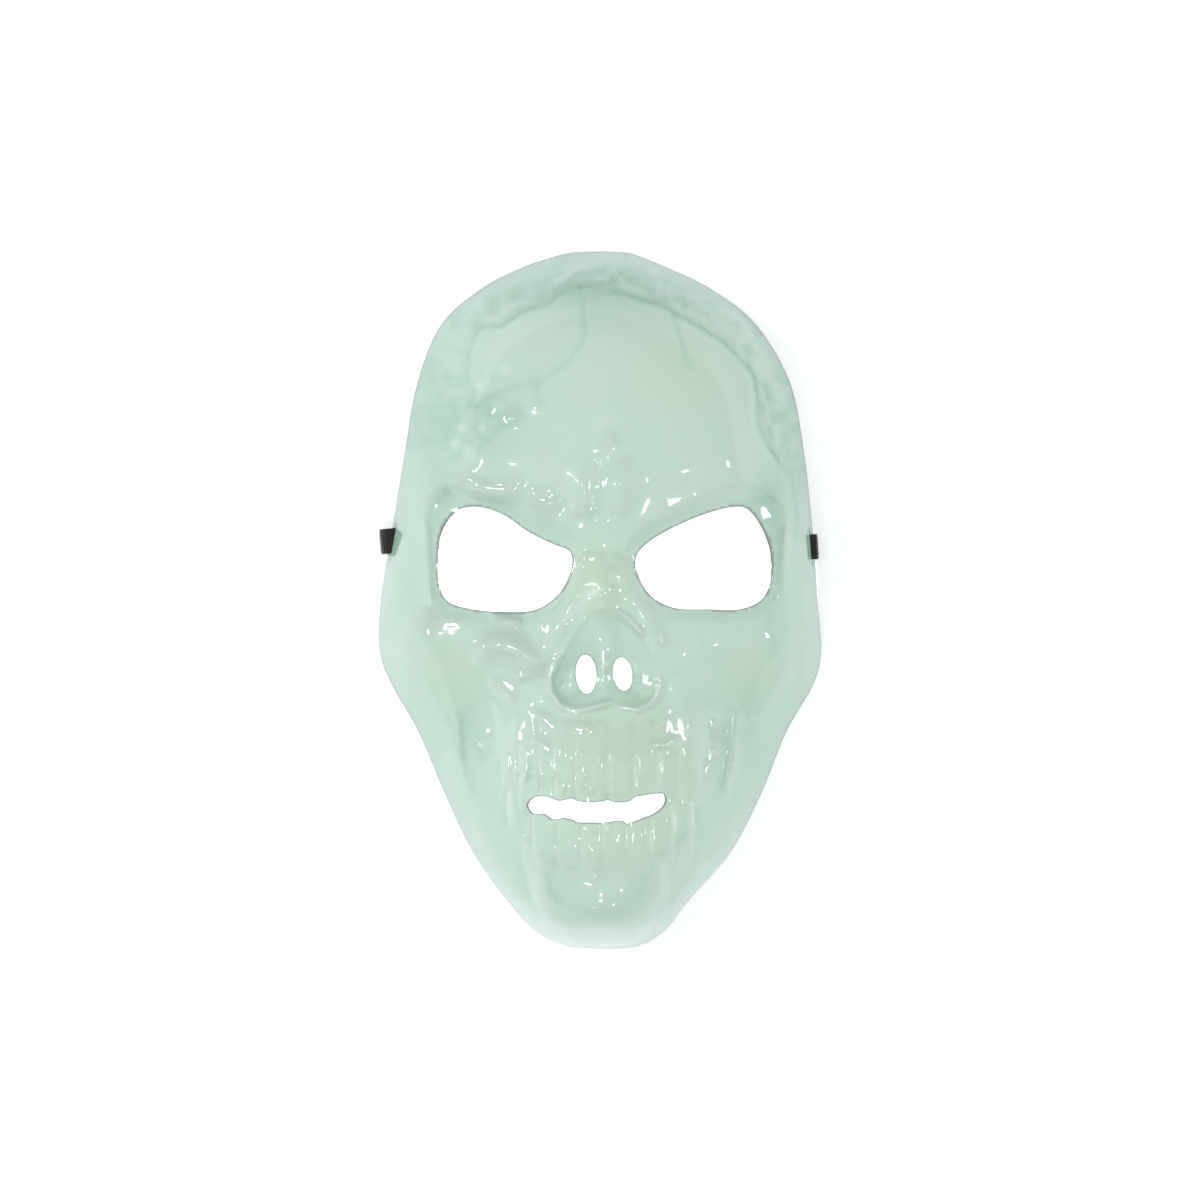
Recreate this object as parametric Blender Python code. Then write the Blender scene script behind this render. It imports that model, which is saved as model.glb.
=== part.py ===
"""Builds a skull face mask in thin vacuum-formed plastic, with the black elastic band that holds it on.

Two objects are made, mask_shell and elastic_band. The mask lies face up on its own rim. +X is the right of the
front view, +Y is towards the forehead, +Z is out of the face, and the rim rests at Z = 0. The tables are in
millimetres and the objects are in metres.
"""

import math

import bpy
import numpy as np
from mathutils import Vector
from mathutils.geometry import delaunay_2d_cdt

MM = 0.001

# Plastic sheet
WALL = 0.8
FINE_STEP = 2.95
COARSE_STEP = 5.9
RIM_STEP = 6.0
HOLE_STEPS = (3.4, 3.4, 2.8, 2.5, 2.5)
CREASE_STEP = 3.3
LATTICE_REACH_X = 118.0
LATTICE_REACH_Y = 150.0

# How far lattice corners keep from lines of the mesh, as shares of the step there
EDGE_CLEAR = 0.45
HOLE_CLEAR = 0.6
CREASE_CLEAR = 0.55

# Points found between two given points of each outline
RIM_SPANS = 16
EYE_SPANS = 7
MOUTH_SPANS = 2
NOSE_SPANS = 5
NOSTRIL_POINTS = 40

# Side wall, as heights above the rim at which a row of corners runs round the mask
WALL_ROWS = (0.0, 4.5, 7.1, 13.0, 20.0, 27.0)
SLIT_ROWS = (1, 2)

# The rim rises a little at the strap, so that the band passes under it
RIM_LIFT = 3.0
RIM_LIFT_Y = 21.0
RIM_LIFT_REACH = 40.0

# The side wall takes over from the relief this far in, and its own distance is rounded off over this stretch
RELIEF_START = 14.0
SOFT_FROM = 5.0
SOFT_OVER = 9.0

# Elastic band
BAND_HALF_WIDTH = 4.8
BAND_HALF_THICK = 0.4
SLIT_HALF_LENGTH = 6.8
SLIT_BAND_Z = 8.4
BAND_CREST_Y = 86.0
BAND_END_TURN = 82.0
UNDER_RIM = (1.2, 2.2)
LOOP_STEPS = 10
TWIST_START = 3.5
TWIST_LENGTH = 20.0
TWIST_STEPS = 16
SIDE_PULL = 0.62
CREST_PULL = 0.6
CREST_STEPS = 18
SEWN_GAP = 1.15
SEWN_START = 8
SEWN_END = 13

# Each strap end. Columns: on the right, slit centre y, heading in degrees, loose bulge, its start from the rim.
STRAP_ENDS = (
    (False, 22.8, 5.0, 2.9, -0.5),
    (True, 20.6, -3.4, 1.0, -0.2),
)

# Rim seen from the front. Columns: y, left x, right x.
RIM_ROWS = (
    (134.8, -9.0, 8.5),
    (133.0, -18.0, 15.5),
    (128.5, -31.0, 26.5),
    (121.0, -45.5, 42.0),
    (107.0, -61.5, 60.0),
    (84.0, -71.0, 73.5),
    (56.0, -76.0, 79.0),
    (28.0, -80.5, 82.0),
    (0.0, -85.0, 84.0),
    (-19.5, -85.5, 85.5),
    (-32.5, -81.0, 82.5),
    (-51.0, -70.5, 72.0),
    (-74.5, -60.5, 62.5),
    (-97.5, -49.5, 50.5),
    (-116.0, -36.5, 34.5),
    (-128.0, -25.5, 25.0),
    (-133.5, -15.0, 16.0),
    (-134.8, -6.5, 8.0),
)

LEFT_EYE = (
    (-46.0, 35.0), (-36.5, 32.0), (-27.0, 25.5), (-18.0, 21.0), (-11.5, 18.0), (-11.0, 11.5),
    (-15.5, 2.5), (-24.0, -3.5), (-35.5, -4.5), (-48.0, -3.5), (-57.5, -0.5), (-61.0, 6.5),
    (-61.5, 17.0), (-60.0, 26.5), (-54.5, 33.5),
)
RIGHT_EYE = (
    (50.0, 35.0), (40.0, 32.5), (28.0, 27.5), (18.5, 22.0), (13.5, 16.5), (14.0, 9.5), (19.0, 1.5),
    (28.0, -3.0), (40.5, -3.5), (52.0, -3.5), (60.5, 0.0), (64.5, 7.5), (64.5, 18.5), (61.0, 28.0),
    (56.0, 34.0),
)
MOUTH = (
    (-27.5, -77.0), (-25.5, -80.0), (-21.5, -80.0), (-18.0, -82.0), (-14.5, -81.5), (-11.0, -82.0),
    (-8.0, -83.0), (-3.0, -83.0), (1.0, -83.0), (5.0, -82.5), (8.5, -82.5), (10.0, -83.5),
    (14.5, -82.0), (19.0, -80.5), (23.0, -78.0), (24.5, -75.0), (23.5, -72.5), (20.0, -72.5),
    (16.0, -73.0), (13.0, -73.5), (11.0, -75.0), (7.0, -75.5), (4.0, -75.0), (2.5, -74.5),
    (1.0, -75.0), (-4.0, -75.5), (-8.5, -75.0), (-11.0, -74.0), (-15.5, -75.0), (-20.0, -73.5),
    (-25.0, -74.0),
)

# Nostril holes. Columns: x, y, half width, half height, lean of the top in degrees.
NOSTRILS = (
    (-5.4, -27.8, 3.9, 7.3, 3.0),
    (8.3, -27.7, 3.6, 6.3, 8.0),
)

# Outer limit of the hollow round each eye
LEFT_ORBIT = (
    (-66.5, 34.0), (-64.5, 41.5), (-58.0, 45.5), (-49.5, 45.7), (-40.0, 43.2), (-31.0, 40.0),
    (-22.5, 35.8), (-14.5, 31.0), (-8.0, 25.0), (-5.8, 17.5), (-6.6, 9.5), (-9.8, 2.5),
    (-14.0, -3.5), (-20.0, -7.8), (-28.0, -9.3), (-38.0, -9.4), (-49.0, -8.3), (-58.0, -6.0),
    (-64.0, -0.6), (-66.2, 8.0), (-66.8, 17.0), (-67.0, 26.0),
)
RIGHT_ORBIT = (
    (70.5, 34.0), (68.5, 41.5), (62.5, 45.5), (54.0, 45.7), (45.0, 43.0), (35.0, 39.3),
    (25.5, 34.8), (17.0, 29.8), (10.6, 24.2), (8.4, 17.0), (9.0, 9.0), (12.3, 2.0),
    (17.0, -3.6), (23.0, -7.2), (32.0, -8.3), (44.0, -8.6), (55.0, -7.8), (63.5, -4.0),
    (68.5, 3.0), (70.2, 13.0), (70.8, 24.0),
)
ORBIT_DEPTH = 6.0
ORBIT_FULL_GAP = 11.0

# Rim of the nose opening, as a rounded triangle with a dip at its foot
NOSE_OPENING = (
    (0.0, -3.0), (6.5, -4.0), (12.5, -9.0), (17.0, -15.5), (20.5, -22.0), (22.0, -30.0),
    (21.5, -37.0), (17.0, -41.0), (10.5, -41.0), (3.5, -38.5), (-3.0, -39.5), (-10.5, -41.5),
    (-16.5, -39.5), (-19.5, -33.5), (-18.0, -25.5), (-13.5, -18.5), (-9.0, -11.5), (-4.5, -5.5),
)
NOSE_DEPTH = 5.2
NOSE_SLOPE = 8.5
NOSE_TOP_SHARE = 0.3
NOSE_DEEPENS_FROM = -6.0
NOSE_DEEPENS_OVER = 22.0
NOSE_BEAD = 0.5
NOSE_BEAD_HALF_WIDTH = 1.6

# Septum between the nostrils, wider towards its top
SEPTUM_X = 1.4
SEPTUM_SHARE = 0.6
SEPTUM_HALF_WIDTH = 3.6
SEPTUM_WIDENING = 5.0
SEPTUM_WIDENS_FROM = -28.0
SEPTUM_WIDENS_OVER = 24.0

# Lie of the whole face. Columns: y, height on the midline, drop 60 mm aside, width of the rounded side wall.
SECTIONS = (
    (140.0, 51.0, 12.0, 44.0),
    (115.0, 61.0, 15.0, 44.0),
    (85.0, 69.0, 17.0, 42.0),
    (60.0, 72.0, 17.0, 38.0),
    (35.0, 72.0, 15.0, 32.0),
    (10.0, 69.0, 13.0, 28.0),
    (-20.0, 68.0, 14.0, 28.0),
    (-50.0, 67.0, 24.0, 28.0),
    (-80.0, 66.0, 30.0, 28.0),
    (-110.0, 62.0, 26.0, 27.0),
    (-140.0, 56.0, 20.0, 27.0),
)

# Rounded swells and hollows. Columns: x, y, half width, half height, turn in degrees, rise.
SWELLS = (
    (0.0, 80.0, 45.0, 32.0, 0.0, 2.5),
    (-36.0, 51.0, 25.0, 8.5, -8.0, 3.2),
    (38.0, 51.0, 25.0, 8.5, 8.0, 3.2),
    (-6.5, 40.0, 5.5, 10.0, 8.0, 3.0),
    (7.0, 41.0, 6.5, 11.0, -8.0, 4.2),
    (1.0, 3.0, 6.5, 10.5, 0.0, 8.5),
    (-14.5, -9.0, 5.5, 17.0, -28.0, 4.5),
    (17.5, -9.0, 5.5, 17.0, 28.0, 4.5),
    (-67.0, -16.0, 9.0, 8.5, 35.0, 5.0),
    (-45.0, -16.0, 20.0, 8.0, -12.0, 4.5),
    (70.0, -20.0, 9.0, 9.0, -35.0, 4.0),
    (48.0, -16.0, 20.0, 8.0, 12.0, 4.5),
    (-44.0, -48.0, 11.0, 20.0, 12.0, -6.5),
    (48.0, -48.0, 11.0, 20.0, -12.0, -6.5),
    (0.0, -60.0, 31.0, 19.0, 0.0, 9.5),
    (0.0, -92.0, 27.0, 14.0, 0.0, 6.5),
    (0.0, -119.0, 21.0, 9.0, 0.0, 7.5),
    (-59.0, 62.0, 10.0, 22.0, 4.0, -3.5),
    (63.0, 58.0, 8.0, 22.0, -6.0, -3.0),
    (-31.0, -110.0, 5.0, 15.0, 25.0, -3.0),
    (29.0, -110.0, 5.0, 15.0, -20.0, -3.0),
)

# Grooves and ridges along a run of points. Columns: rise, half width, points.
FOLDS = (
    (-1.8, 3.0, ((0.0, 50.0), (-1.0, 42.0), (-1.5, 33.0))),
    (1.3, 2.2, ((-67.0, 34.0), (-66.3, 24.0), (-65.6, 14.0), (-65.2, 0.0))),
    (1.1, 2.2, ((71.0, 34.0), (70.2, 24.0), (69.6, 14.0), (68.6, 2.0))),
    (-1.6, 3.0, ((-78.5, -23.0), (-75.0, -14.0), (-70.0, -8.5), (-62.0, -7.0))),
    (-1.8, 2.4, ((81.5, -28.0), (76.0, -33.5), (68.5, -35.5))),
    (1.1, 2.2, ((-58.0, -50.0), (-55.2, -62.0), (-51.5, -73.0))),
    (1.1, 2.2, ((51.0, -44.0), (50.4, -57.0), (47.5, -71.0))),
    (-1.6, 3.0, ((-29.5, -94.0), (-28.0, -103.0), (-26.5, -112.0))),
    (-1.6, 3.0, ((25.0, -101.0), (26.0, -109.0), (26.0, -116.0))),
)

# Teeth from left to right. Columns: left edge, right edge, biting end, gum line, rise.
UPPER_TEETH = (
    (-37.5, -30.8, -70.0, -56.5, 0.7),
    (-30.8, -23.0, -72.5, -56.5, 0.8),
    (-23.0, -17.4, -74.5, -57.0, 0.9),
    (-17.4, -9.3, -75.5, -57.0, 1.1),
    (-9.3, 2.6, -76.5, -58.5, 1.3),
    (2.6, 12.8, -76.5, -58.5, 1.3),
    (12.8, 22.0, -74.5, -57.0, 1.1),
    (22.0, 30.3, -73.0, -56.5, 0.9),
    (30.3, 38.5, -71.0, -56.0, 0.7),
)
LOWER_TEETH = (
    (-34.5, -25.7, -80.5, -95.0, 0.8),
    (-25.7, -16.4, -80.5, -96.0, 0.9),
    (-16.4, -7.3, -81.5, -96.5, 1.0),
    (-7.3, 0.8, -82.5, -97.0, 1.0),
    (0.8, 9.6, -82.5, -97.0, 1.0),
    (9.6, 18.7, -81.5, -96.5, 1.0),
    (18.7, 27.7, -80.0, -96.0, 0.9),
    (27.7, 35.0, -79.5, -94.5, 0.8),
)

# Where the corners lie closer together. Columns: x, y, half width, half height.
FINE_AREAS = (
    (0.0, -66.0, 38.0, 34.0),
    (1.0, -8.0, 27.0, 46.0),
    (-36.0, 17.0, 37.0, 31.0),
    (39.0, 17.0, 37.0, 31.0),
)

PLASTIC_COLOUR = (0.51, 0.68, 0.60)
ELASTIC_COLOUR = (0.012, 0.012, 0.013)


def smooth(t):
    """Rises from 0 to 1 with level ends."""
    t = np.clip(t, 0.0, 1.0)
    return t * t * (3.0 - 2.0 * t)


def closed_curve(points, per_span):
    """Points along a smooth closed curve through the given points."""
    p = np.array(points, float)
    before, after, beyond = np.roll(p, 1, 0), np.roll(p, -1, 0), np.roll(p, -2, 0)
    found = []
    for t in np.arange(per_span) / per_span:
        bend = (2 * before - 5 * p + 4 * after - beyond) * t**2
        bend += (3 * p - before - 3 * after + beyond) * t**3
        found.append(0.5 * (2 * p + (after - before) * t + bend))
    return np.stack(found, 1).reshape(-1, 2)


def spaced(curve, step, marks=()):
    """Evenly spaced points round a closed curve, with a point kept at each marked place."""
    ring = np.vstack([curve, curve[:1]])
    along = np.concatenate([[0.0], np.cumsum(np.hypot(*np.diff(ring, axis=0).T))])
    total = along[-1]
    stops = sorted(along[np.argmin(np.hypot(*(curve - mark).T))] for mark in marks) or [0.0]
    places = []
    for start, end in zip(stops, stops[1:] + [stops[0] + total]):
        count = max(1, round((end - start) / step))
        places.extend(start + (end - start) * k / count for k in range(count))
    places = np.array(places) % total
    return np.stack([np.interp(places, along, ring[:, i]) for i in (0, 1)], 1)


def distance(points, run, closed=False):
    """Distance of each point from a run of straight pieces."""
    run = np.asarray(run, float)
    ends = np.roll(run, -1, 0) if closed else run[1:]
    nearest = np.full(len(points), np.inf)
    for a, b in zip(run, ends):
        ab = b - a
        t = np.clip(((points - a) @ ab) / (ab @ ab), 0, 1)
        gap = points - a - t[:, None] * ab
        nearest = np.minimum(nearest, np.hypot(gap[:, 0], gap[:, 1]))
    return nearest


def inside(points, outline):
    """Which points lie inside a closed outline."""
    x, y = points[:, 0], points[:, 1]
    crossed = np.zeros(len(points), bool)
    for (ax, ay), (bx, by) in zip(outline, np.roll(outline, -1, 0)):
        if ay != by:
            spans = (ay > y) != (by > y)
            crossed ^= spans & (x < (bx - ax) * (y - ay) / (by - ay) + ax)
    return crossed


def section(y, column):
    """A column of SECTIONS read smoothly at each y."""
    rows = np.array(SECTIONS)[::-1]
    keys, values = rows[:, 0], rows[:, column]
    slopes = np.gradient(values, keys)
    i = np.clip(np.searchsorted(keys, y) - 1, 0, len(keys) - 2)
    span = keys[i + 1] - keys[i]
    t = (y - keys[i]) / span
    start = values[i] * (1 + 2 * t) * (1 - t) ** 2 + slopes[i] * span * t * (1 - t) ** 2
    end = values[i + 1] * t * t * (3 - 2 * t) + slopes[i + 1] * span * t * t * (t - 1)
    return start + end


def swell(points, x, y, half_width, half_height, turn, rise):
    """A rounded swell with its axes turned."""
    a = math.radians(turn)
    dx, dy = points[:, 0] - x, points[:, 1] - y
    u = (dx * math.cos(a) + dy * math.sin(a)) / half_width
    v = (dy * math.cos(a) - dx * math.sin(a)) / half_height
    return rise * np.exp(-(u * u + v * v))


def orbit(points, hole, limit):
    """The hollow that falls from its limit to the edge of the eye hole."""
    to_hole = np.where(inside(points, hole), 0.0, distance(points, hole, True))
    to_limit = distance(points, limit, True)
    gap = to_hole + to_limit + 1e-9
    depth = ORBIT_DEPTH * np.minimum(gap / ORBIT_FULL_GAP, 1)
    return np.where(inside(points, limit), -depth * (1 - smooth(to_hole / gap)), 0.0)


def nose(points, limit):
    """The hollow of the nose with a septum down its middle."""
    edge = distance(points, limit, True)
    x, y = points[:, 0], points[:, 1]
    spread = SEPTUM_HALF_WIDTH + SEPTUM_WIDENING * smooth((y - SEPTUM_WIDENS_FROM) / SEPTUM_WIDENS_OVER)
    septum = SEPTUM_SHARE * np.exp(-(((x - SEPTUM_X) / spread) ** 2))
    deepening = smooth((NOSE_DEEPENS_FROM - y) / NOSE_DEEPENS_OVER)
    depth = NOSE_DEPTH * (NOSE_TOP_SHARE + (1 - NOSE_TOP_SHARE) * deepening)
    hollow = -depth * smooth(edge / NOSE_SLOPE) * (1 - septum)
    bead = NOSE_BEAD * np.exp(-((edge / NOSE_BEAD_HALF_WIDTH) ** 2))
    return np.where(inside(points, limit), hollow, 0.0) + bead


def teeth(points, rows):
    """A row of barrel-shaped teeth that fade into the gum."""
    x, y = points[:, 0], points[:, 1]
    height = np.zeros(len(points))
    for left, right, bite, gum, rise in rows:
        across = np.clip(np.abs(x - (left + right) / 2) / ((right - left) / 2), 0, 1)
        along = (y - (bite + gum) / 2) / ((gum - bite) / 2)
        fade = np.where(along > 0, smooth(1.5 - 0.8 * along), smooth(2.6 + 1.3 * along))
        height = np.maximum(height, rise * (1 - across**3) * fade)
    return height


def wall_distance(points, rim):
    """Distance from the rim, rounded off where two stretches of it are equally near."""
    exact = distance(points, rim, True)
    lengths = np.hypot(*(np.roll(rim, -1, 0) - rim).T)
    middles = (np.roll(rim, -1, 0) + rim) / 2
    pull = np.zeros(len(points))
    for middle, length in zip(middles, lengths):
        gap = points - middle
        pull += length / (gap[:, 0] ** 2 + gap[:, 1] ** 2 + 1e-6) ** 2.5
    soft = (pull / (4.0 / 3.0)) ** -0.25
    near = smooth((exact - SOFT_FROM) / SOFT_OVER)
    return exact * (1 - near) + soft * near


def rim_lift(y):
    """How far the rim stands off the surface that the mask lies on."""
    return RIM_LIFT * smooth(1 - np.abs(y - RIM_LIFT_Y) / RIM_LIFT_REACH)


class Face:
    """The outlines of the mask and the height of its outer surface over the front view."""

    def __init__(self):
        rows = np.array(RIM_ROWS)
        right = rows[:, [2, 0]]
        left = rows[::-1][:, [1, 0]]
        self.rim = closed_curve(np.vstack([right, left]), RIM_SPANS)
        self.holes = [closed_curve(LEFT_EYE, EYE_SPANS), closed_curve(RIGHT_EYE, EYE_SPANS)]
        self.holes.append(closed_curve(MOUTH, MOUTH_SPANS))
        for x, y, half_width, half_height, lean in NOSTRILS:
            turns = np.linspace(0, 2 * math.pi, NOSTRIL_POINTS, endpoint=False)
            u, v = half_width * np.cos(turns), half_height * np.sin(turns)
            a = math.radians(lean)
            across = x + u * math.cos(a) - v * math.sin(a)
            up = y + u * math.sin(a) + v * math.cos(a)
            self.holes.append(np.stack([across, up], 1))
        self.orbits = [closed_curve(LEFT_ORBIT, EYE_SPANS), closed_curve(RIGHT_ORBIT, EYE_SPANS)]
        self.nose = closed_curve(NOSE_OPENING, NOSE_SPANS)

    def crown(self, points):
        """Height of the face before the side wall rounds it off."""
        x, y = points[:, 0], points[:, 1]
        return section(y, 1) - section(y, 2) * (x / 60.0) ** 2

    def height(self, points):
        """Height of the outer surface in millimetres."""
        y = points[:, 1]
        from_rim = wall_distance(points, self.rim)
        wall = 1 - (1 - np.clip(from_rim / section(y, 3), 0, 1)) ** 3
        relief = nose(points, self.nose) + teeth(points, UPPER_TEETH) + teeth(points, LOWER_TEETH)
        for row in SWELLS:
            relief += swell(points, *row)
        for rise, half_width, run in FOLDS:
            relief += rise * np.exp(-((distance(points, run) / half_width) ** 2))
        for hole, limit in zip(self.holes, self.orbits):
            relief += orbit(points, hole, limit)
        level = self.crown(points) * wall + rim_lift(y) * (1 - wall)
        return level + relief * smooth(from_rim / RELIEF_START)

    def inset(self, points, inward, rise):
        """Moves rim points inward to where the side wall has risen by the given height."""
        share = 1 - (1 - rise / self.crown(points)) ** (1 / 3)
        return points + inward * (share * section(points[:, 1], 3))[:, None]


def inward_normals(ring):
    """Unit vectors that point into a ring of points listed clockwise."""
    run = np.roll(ring, -1, 0) - np.roll(ring, 1, 0)
    inward = np.stack([run[:, 1], -run[:, 0]], 1)
    return inward / np.hypot(inward[:, 0], inward[:, 1])[:, None]


def slit_ends(face):
    """The two ends of each strap slit, on the rim."""
    found = []
    for mirrored, centre_y, *_ in STRAP_ENDS:
        side = face.rim[(face.rim[:, 0] > 0) == mirrored]
        for end in (-SLIT_HALF_LENGTH, SLIT_HALF_LENGTH):
            found.append(side[np.argmin(np.abs(side[:, 1] - centre_y - end))])
    return found


def lattice(last_row, loops, creases):
    """Points of a triangular lattice inside the wall rows, closer together in the fine areas."""
    found = []
    rows, columns = int(LATTICE_REACH_Y / FINE_STEP), int(LATTICE_REACH_X / FINE_STEP)
    for j in range(-rows, rows + 1):
        for i in range(-columns, columns + 1):
            x = (i + 0.5 * (j % 2)) * FINE_STEP
            y = j * FINE_STEP * math.sqrt(0.75)
            coarse = j % 2 == 0 and (i + j // 2) % 2 == 0
            fine = any(((x - a) / c) ** 2 + ((y - b) / d) ** 2 < 1 for a, b, c, d in FINE_AREAS)
            if coarse or fine:
                found.append((x, y))
    points = np.array(found)
    points = points[inside(points, last_row)]
    points = points[distance(points, last_row, True) > EDGE_CLEAR * COARSE_STEP]
    for loop in loops:
        clear = distance(points, loop, True) > HOLE_CLEAR * FINE_STEP
        points = points[clear & ~inside(points, loop)]
    for crease in creases:
        points = points[distance(points, crease, True) > CREASE_CLEAR * FINE_STEP]
    return points


def build_shell(face):
    """Corners and faces of the thin shell, as one closed body."""
    marks = slit_ends(face)
    rim = spaced(face.rim, RIM_STEP, marks)
    inward = inward_normals(rim)
    rows = [rim] + [face.inset(rim, inward, rise) for rise in WALL_ROWS[1:]]
    loops = [spaced(hole, step) for hole, step in zip(face.holes, HOLE_STEPS)]
    creases = [spaced(limit, CREASE_STEP) for limit in (*face.orbits, face.nose)]
    groups = rows + loops + creases
    points, edges = [], []
    for group in groups:
        first = len(points)
        points.extend(group)
        edges.extend((first + k, first + (k + 1) % len(group)) for k in range(len(group)))
    points.extend(lattice(rows[-1], loops, creases))
    plan = np.array(points)
    done = delaunay_2d_cdt([Vector(p) for p in plan], edges, [], 0, 1e-6)
    if len(done[0]) != len(plan):
        raise RuntimeError("the outlines cross one another")
    triangles = np.array([f for f in done[2] if len(f) == 3])
    plan = np.array([tuple(p) for p in done[0]])
    middles = plan[triangles].mean(1)
    keep = inside(middles, rim)
    for loop in loops:
        keep &= ~inside(middles, loop)
    triangles = triangles[keep]
    triangles = triangles[~in_slit(triangles, rim, marks)]
    outer = np.column_stack([plan, face.height(plan)])
    return thicken(outer, triangles, inward)


def in_slit(triangles, rim, marks):
    """Which triangles lie between the two wall rows and the two ends of a slit."""
    count = len(rim)
    row, column = triangles // count, triangles % count
    between = np.all((row == SLIT_ROWS[0]) | (row == SLIT_ROWS[1]), axis=1)
    cut = np.zeros(len(triangles), bool)
    for a, b in (marks[:2], marks[2:]):
        first, last = sorted(int(np.argmin(np.hypot(*(rim - mark).T))) for mark in (a, b))
        if last - first > count / 2:
            column = (column - last) % count
            first, last = 0, (first - last) % count
        cut |= between & np.all((column >= first) & (column <= last), axis=1)
    return cut


def thicken(outer, triangles, rim_inward):
    """Adds the inner surface one wall behind the outer one, and the strips that join them at the edges."""
    a, b, c = (outer[triangles[:, k]] for k in (0, 1, 2))
    across = np.cross(b - a, c - a)
    triangles[across[:, 2] < 0] = triangles[across[:, 2] < 0][:, ::-1]
    across[across[:, 2] < 0] *= -1
    normals = np.zeros_like(outer)
    for k in range(3):
        np.add.at(normals, triangles[:, k], across / np.linalg.norm(across, axis=1)[:, None])
    normals /= np.linalg.norm(normals, axis=1)[:, None] + 1e-12
    inner = outer - WALL * normals
    count = len(rim_inward)
    inner[:count] = outer[:count] + np.column_stack([rim_inward * WALL, np.zeros(count)])
    size = len(outer)
    faces = [tuple(t) for t in triangles] + [tuple(t[::-1] + size) for t in triangles]
    sides = {(t[k], t[(k + 1) % 3]) for t in triangles.tolist() for k in range(3)}
    for start, end in sides:
        if (end, start) not in sides:
            faces.append((start, start + size, end + size))
            faces.append((start, end + size, end))
    return np.vstack([outer, inner]), faces


def band_main(rim_x, centre_y, heading, bulge_start):
    """Centres and width directions of the band from under the rim to the middle of its crest."""
    centres, widths = [], []
    start = np.array([rim_x, centre_y])
    ahead = np.array([math.cos(math.radians(heading)), math.sin(math.radians(heading))])
    for u in (bulge_start + UNDER_RIM[0], UNDER_RIM[1]):
        centres.append((*(start + u * ahead), BAND_HALF_THICK))
        widths.append((-ahead[1], ahead[0], 0.0))
    place = start + TWIST_START * ahead
    step = TWIST_LENGTH / TWIST_STEPS
    for k in range(TWIST_STEPS + 1):
        share = float(smooth(k / TWIST_STEPS))
        turn = math.radians(heading + (BAND_END_TURN - heading) * share)
        twist = math.radians(90 * share)
        z = BAND_HALF_WIDTH * math.sin(twist) + BAND_HALF_THICK * math.cos(twist)
        centres.append((*place, z))
        flat = math.cos(twist)
        widths.append((-math.sin(turn) * flat, math.cos(turn) * flat, -math.sin(twist)))
        place = place + step * np.array([math.cos(turn), math.sin(turn)])
    end = np.array(centres[-1][:2])
    turn = math.radians(BAND_END_TURN)
    crest = np.array([0.0, BAND_CREST_Y])
    reach = crest - end
    knots = (
        end,
        end + SIDE_PULL * reach[1] * np.array([math.cos(turn), math.sin(turn)]),
        crest - np.array([CREST_PULL * reach[0], 0.0]),
        crest,
    )
    for t in np.linspace(0, 1, CREST_STEPS + 1)[1:]:
        weights = ((1 - t) ** 3, 3 * t * (1 - t) ** 2, 3 * t * t * (1 - t), t**3)
        centres.append((*sum(w * k for w, k in zip(weights, knots)), BAND_HALF_WIDTH))
        widths.append((0.0, 0.0, -1.0))
    return np.array(centres), np.array(widths)


def thickness(centres, widths):
    """Thickness directions, square to the path and to its widths."""
    steps = np.diff(centres, axis=0)
    steps /= np.linalg.norm(steps, axis=1)[:, None]
    ahead = np.vstack([steps[:1], steps[:-1] + steps[1:], steps[-1:]])
    thick = np.cross(ahead, widths)
    return thick / np.linalg.norm(thick, axis=1)[:, None]


def band_half(rim_x, centre_y, heading, bulge, bulge_start):
    """Centres, widths and thicknesses of half of the band from its sewn tail on, and where it runs to the crest."""
    main, main_widths = band_main(rim_x, centre_y, heading, bulge_start)
    main_thick = thickness(main, main_widths)
    rise = SLIT_BAND_Z - BAND_HALF_THICK - SEWN_GAP
    steps = np.arange(SEWN_END, -1, -1)
    apart = SEWN_GAP + rise * smooth(1 - steps / SEWN_START)
    tail = main[steps + 2] + apart[:, None] * main_thick[steps + 2]
    tail_widths = main_widths[steps + 2]
    ahead = np.array([math.cos(math.radians(heading)), math.sin(math.radians(heading)), 0.0])
    across = np.array([-ahead[1], ahead[0], 0.0])
    arc_top = np.array([rim_x, centre_y, SLIT_BAND_Z]) + bulge_start * ahead
    half_drop = (SLIT_BAND_Z - BAND_HALF_THICK) / 2
    loop = [(tail[-1] + arc_top) / 2]
    for angle in np.linspace(0, math.pi, LOOP_STEPS + 1):
        drop = np.array([0, 0, half_drop * (1 - math.cos(angle))])
        loop.append(arc_top - bulge * math.sin(angle) * ahead - drop)
    loop_widths = [across] * len(loop)
    centres = np.vstack([tail, loop, main])
    widths = np.vstack([tail_widths, loop_widths, main_widths])
    thick = thickness(centres, widths)
    sewn = SEWN_END - SEWN_START + 1
    thick[:sewn] = -main_thick[steps + 2][:sewn]
    crestward = np.arange(len(centres)) >= len(tail) + len(loop)
    return centres, widths, thick, crestward


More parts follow.
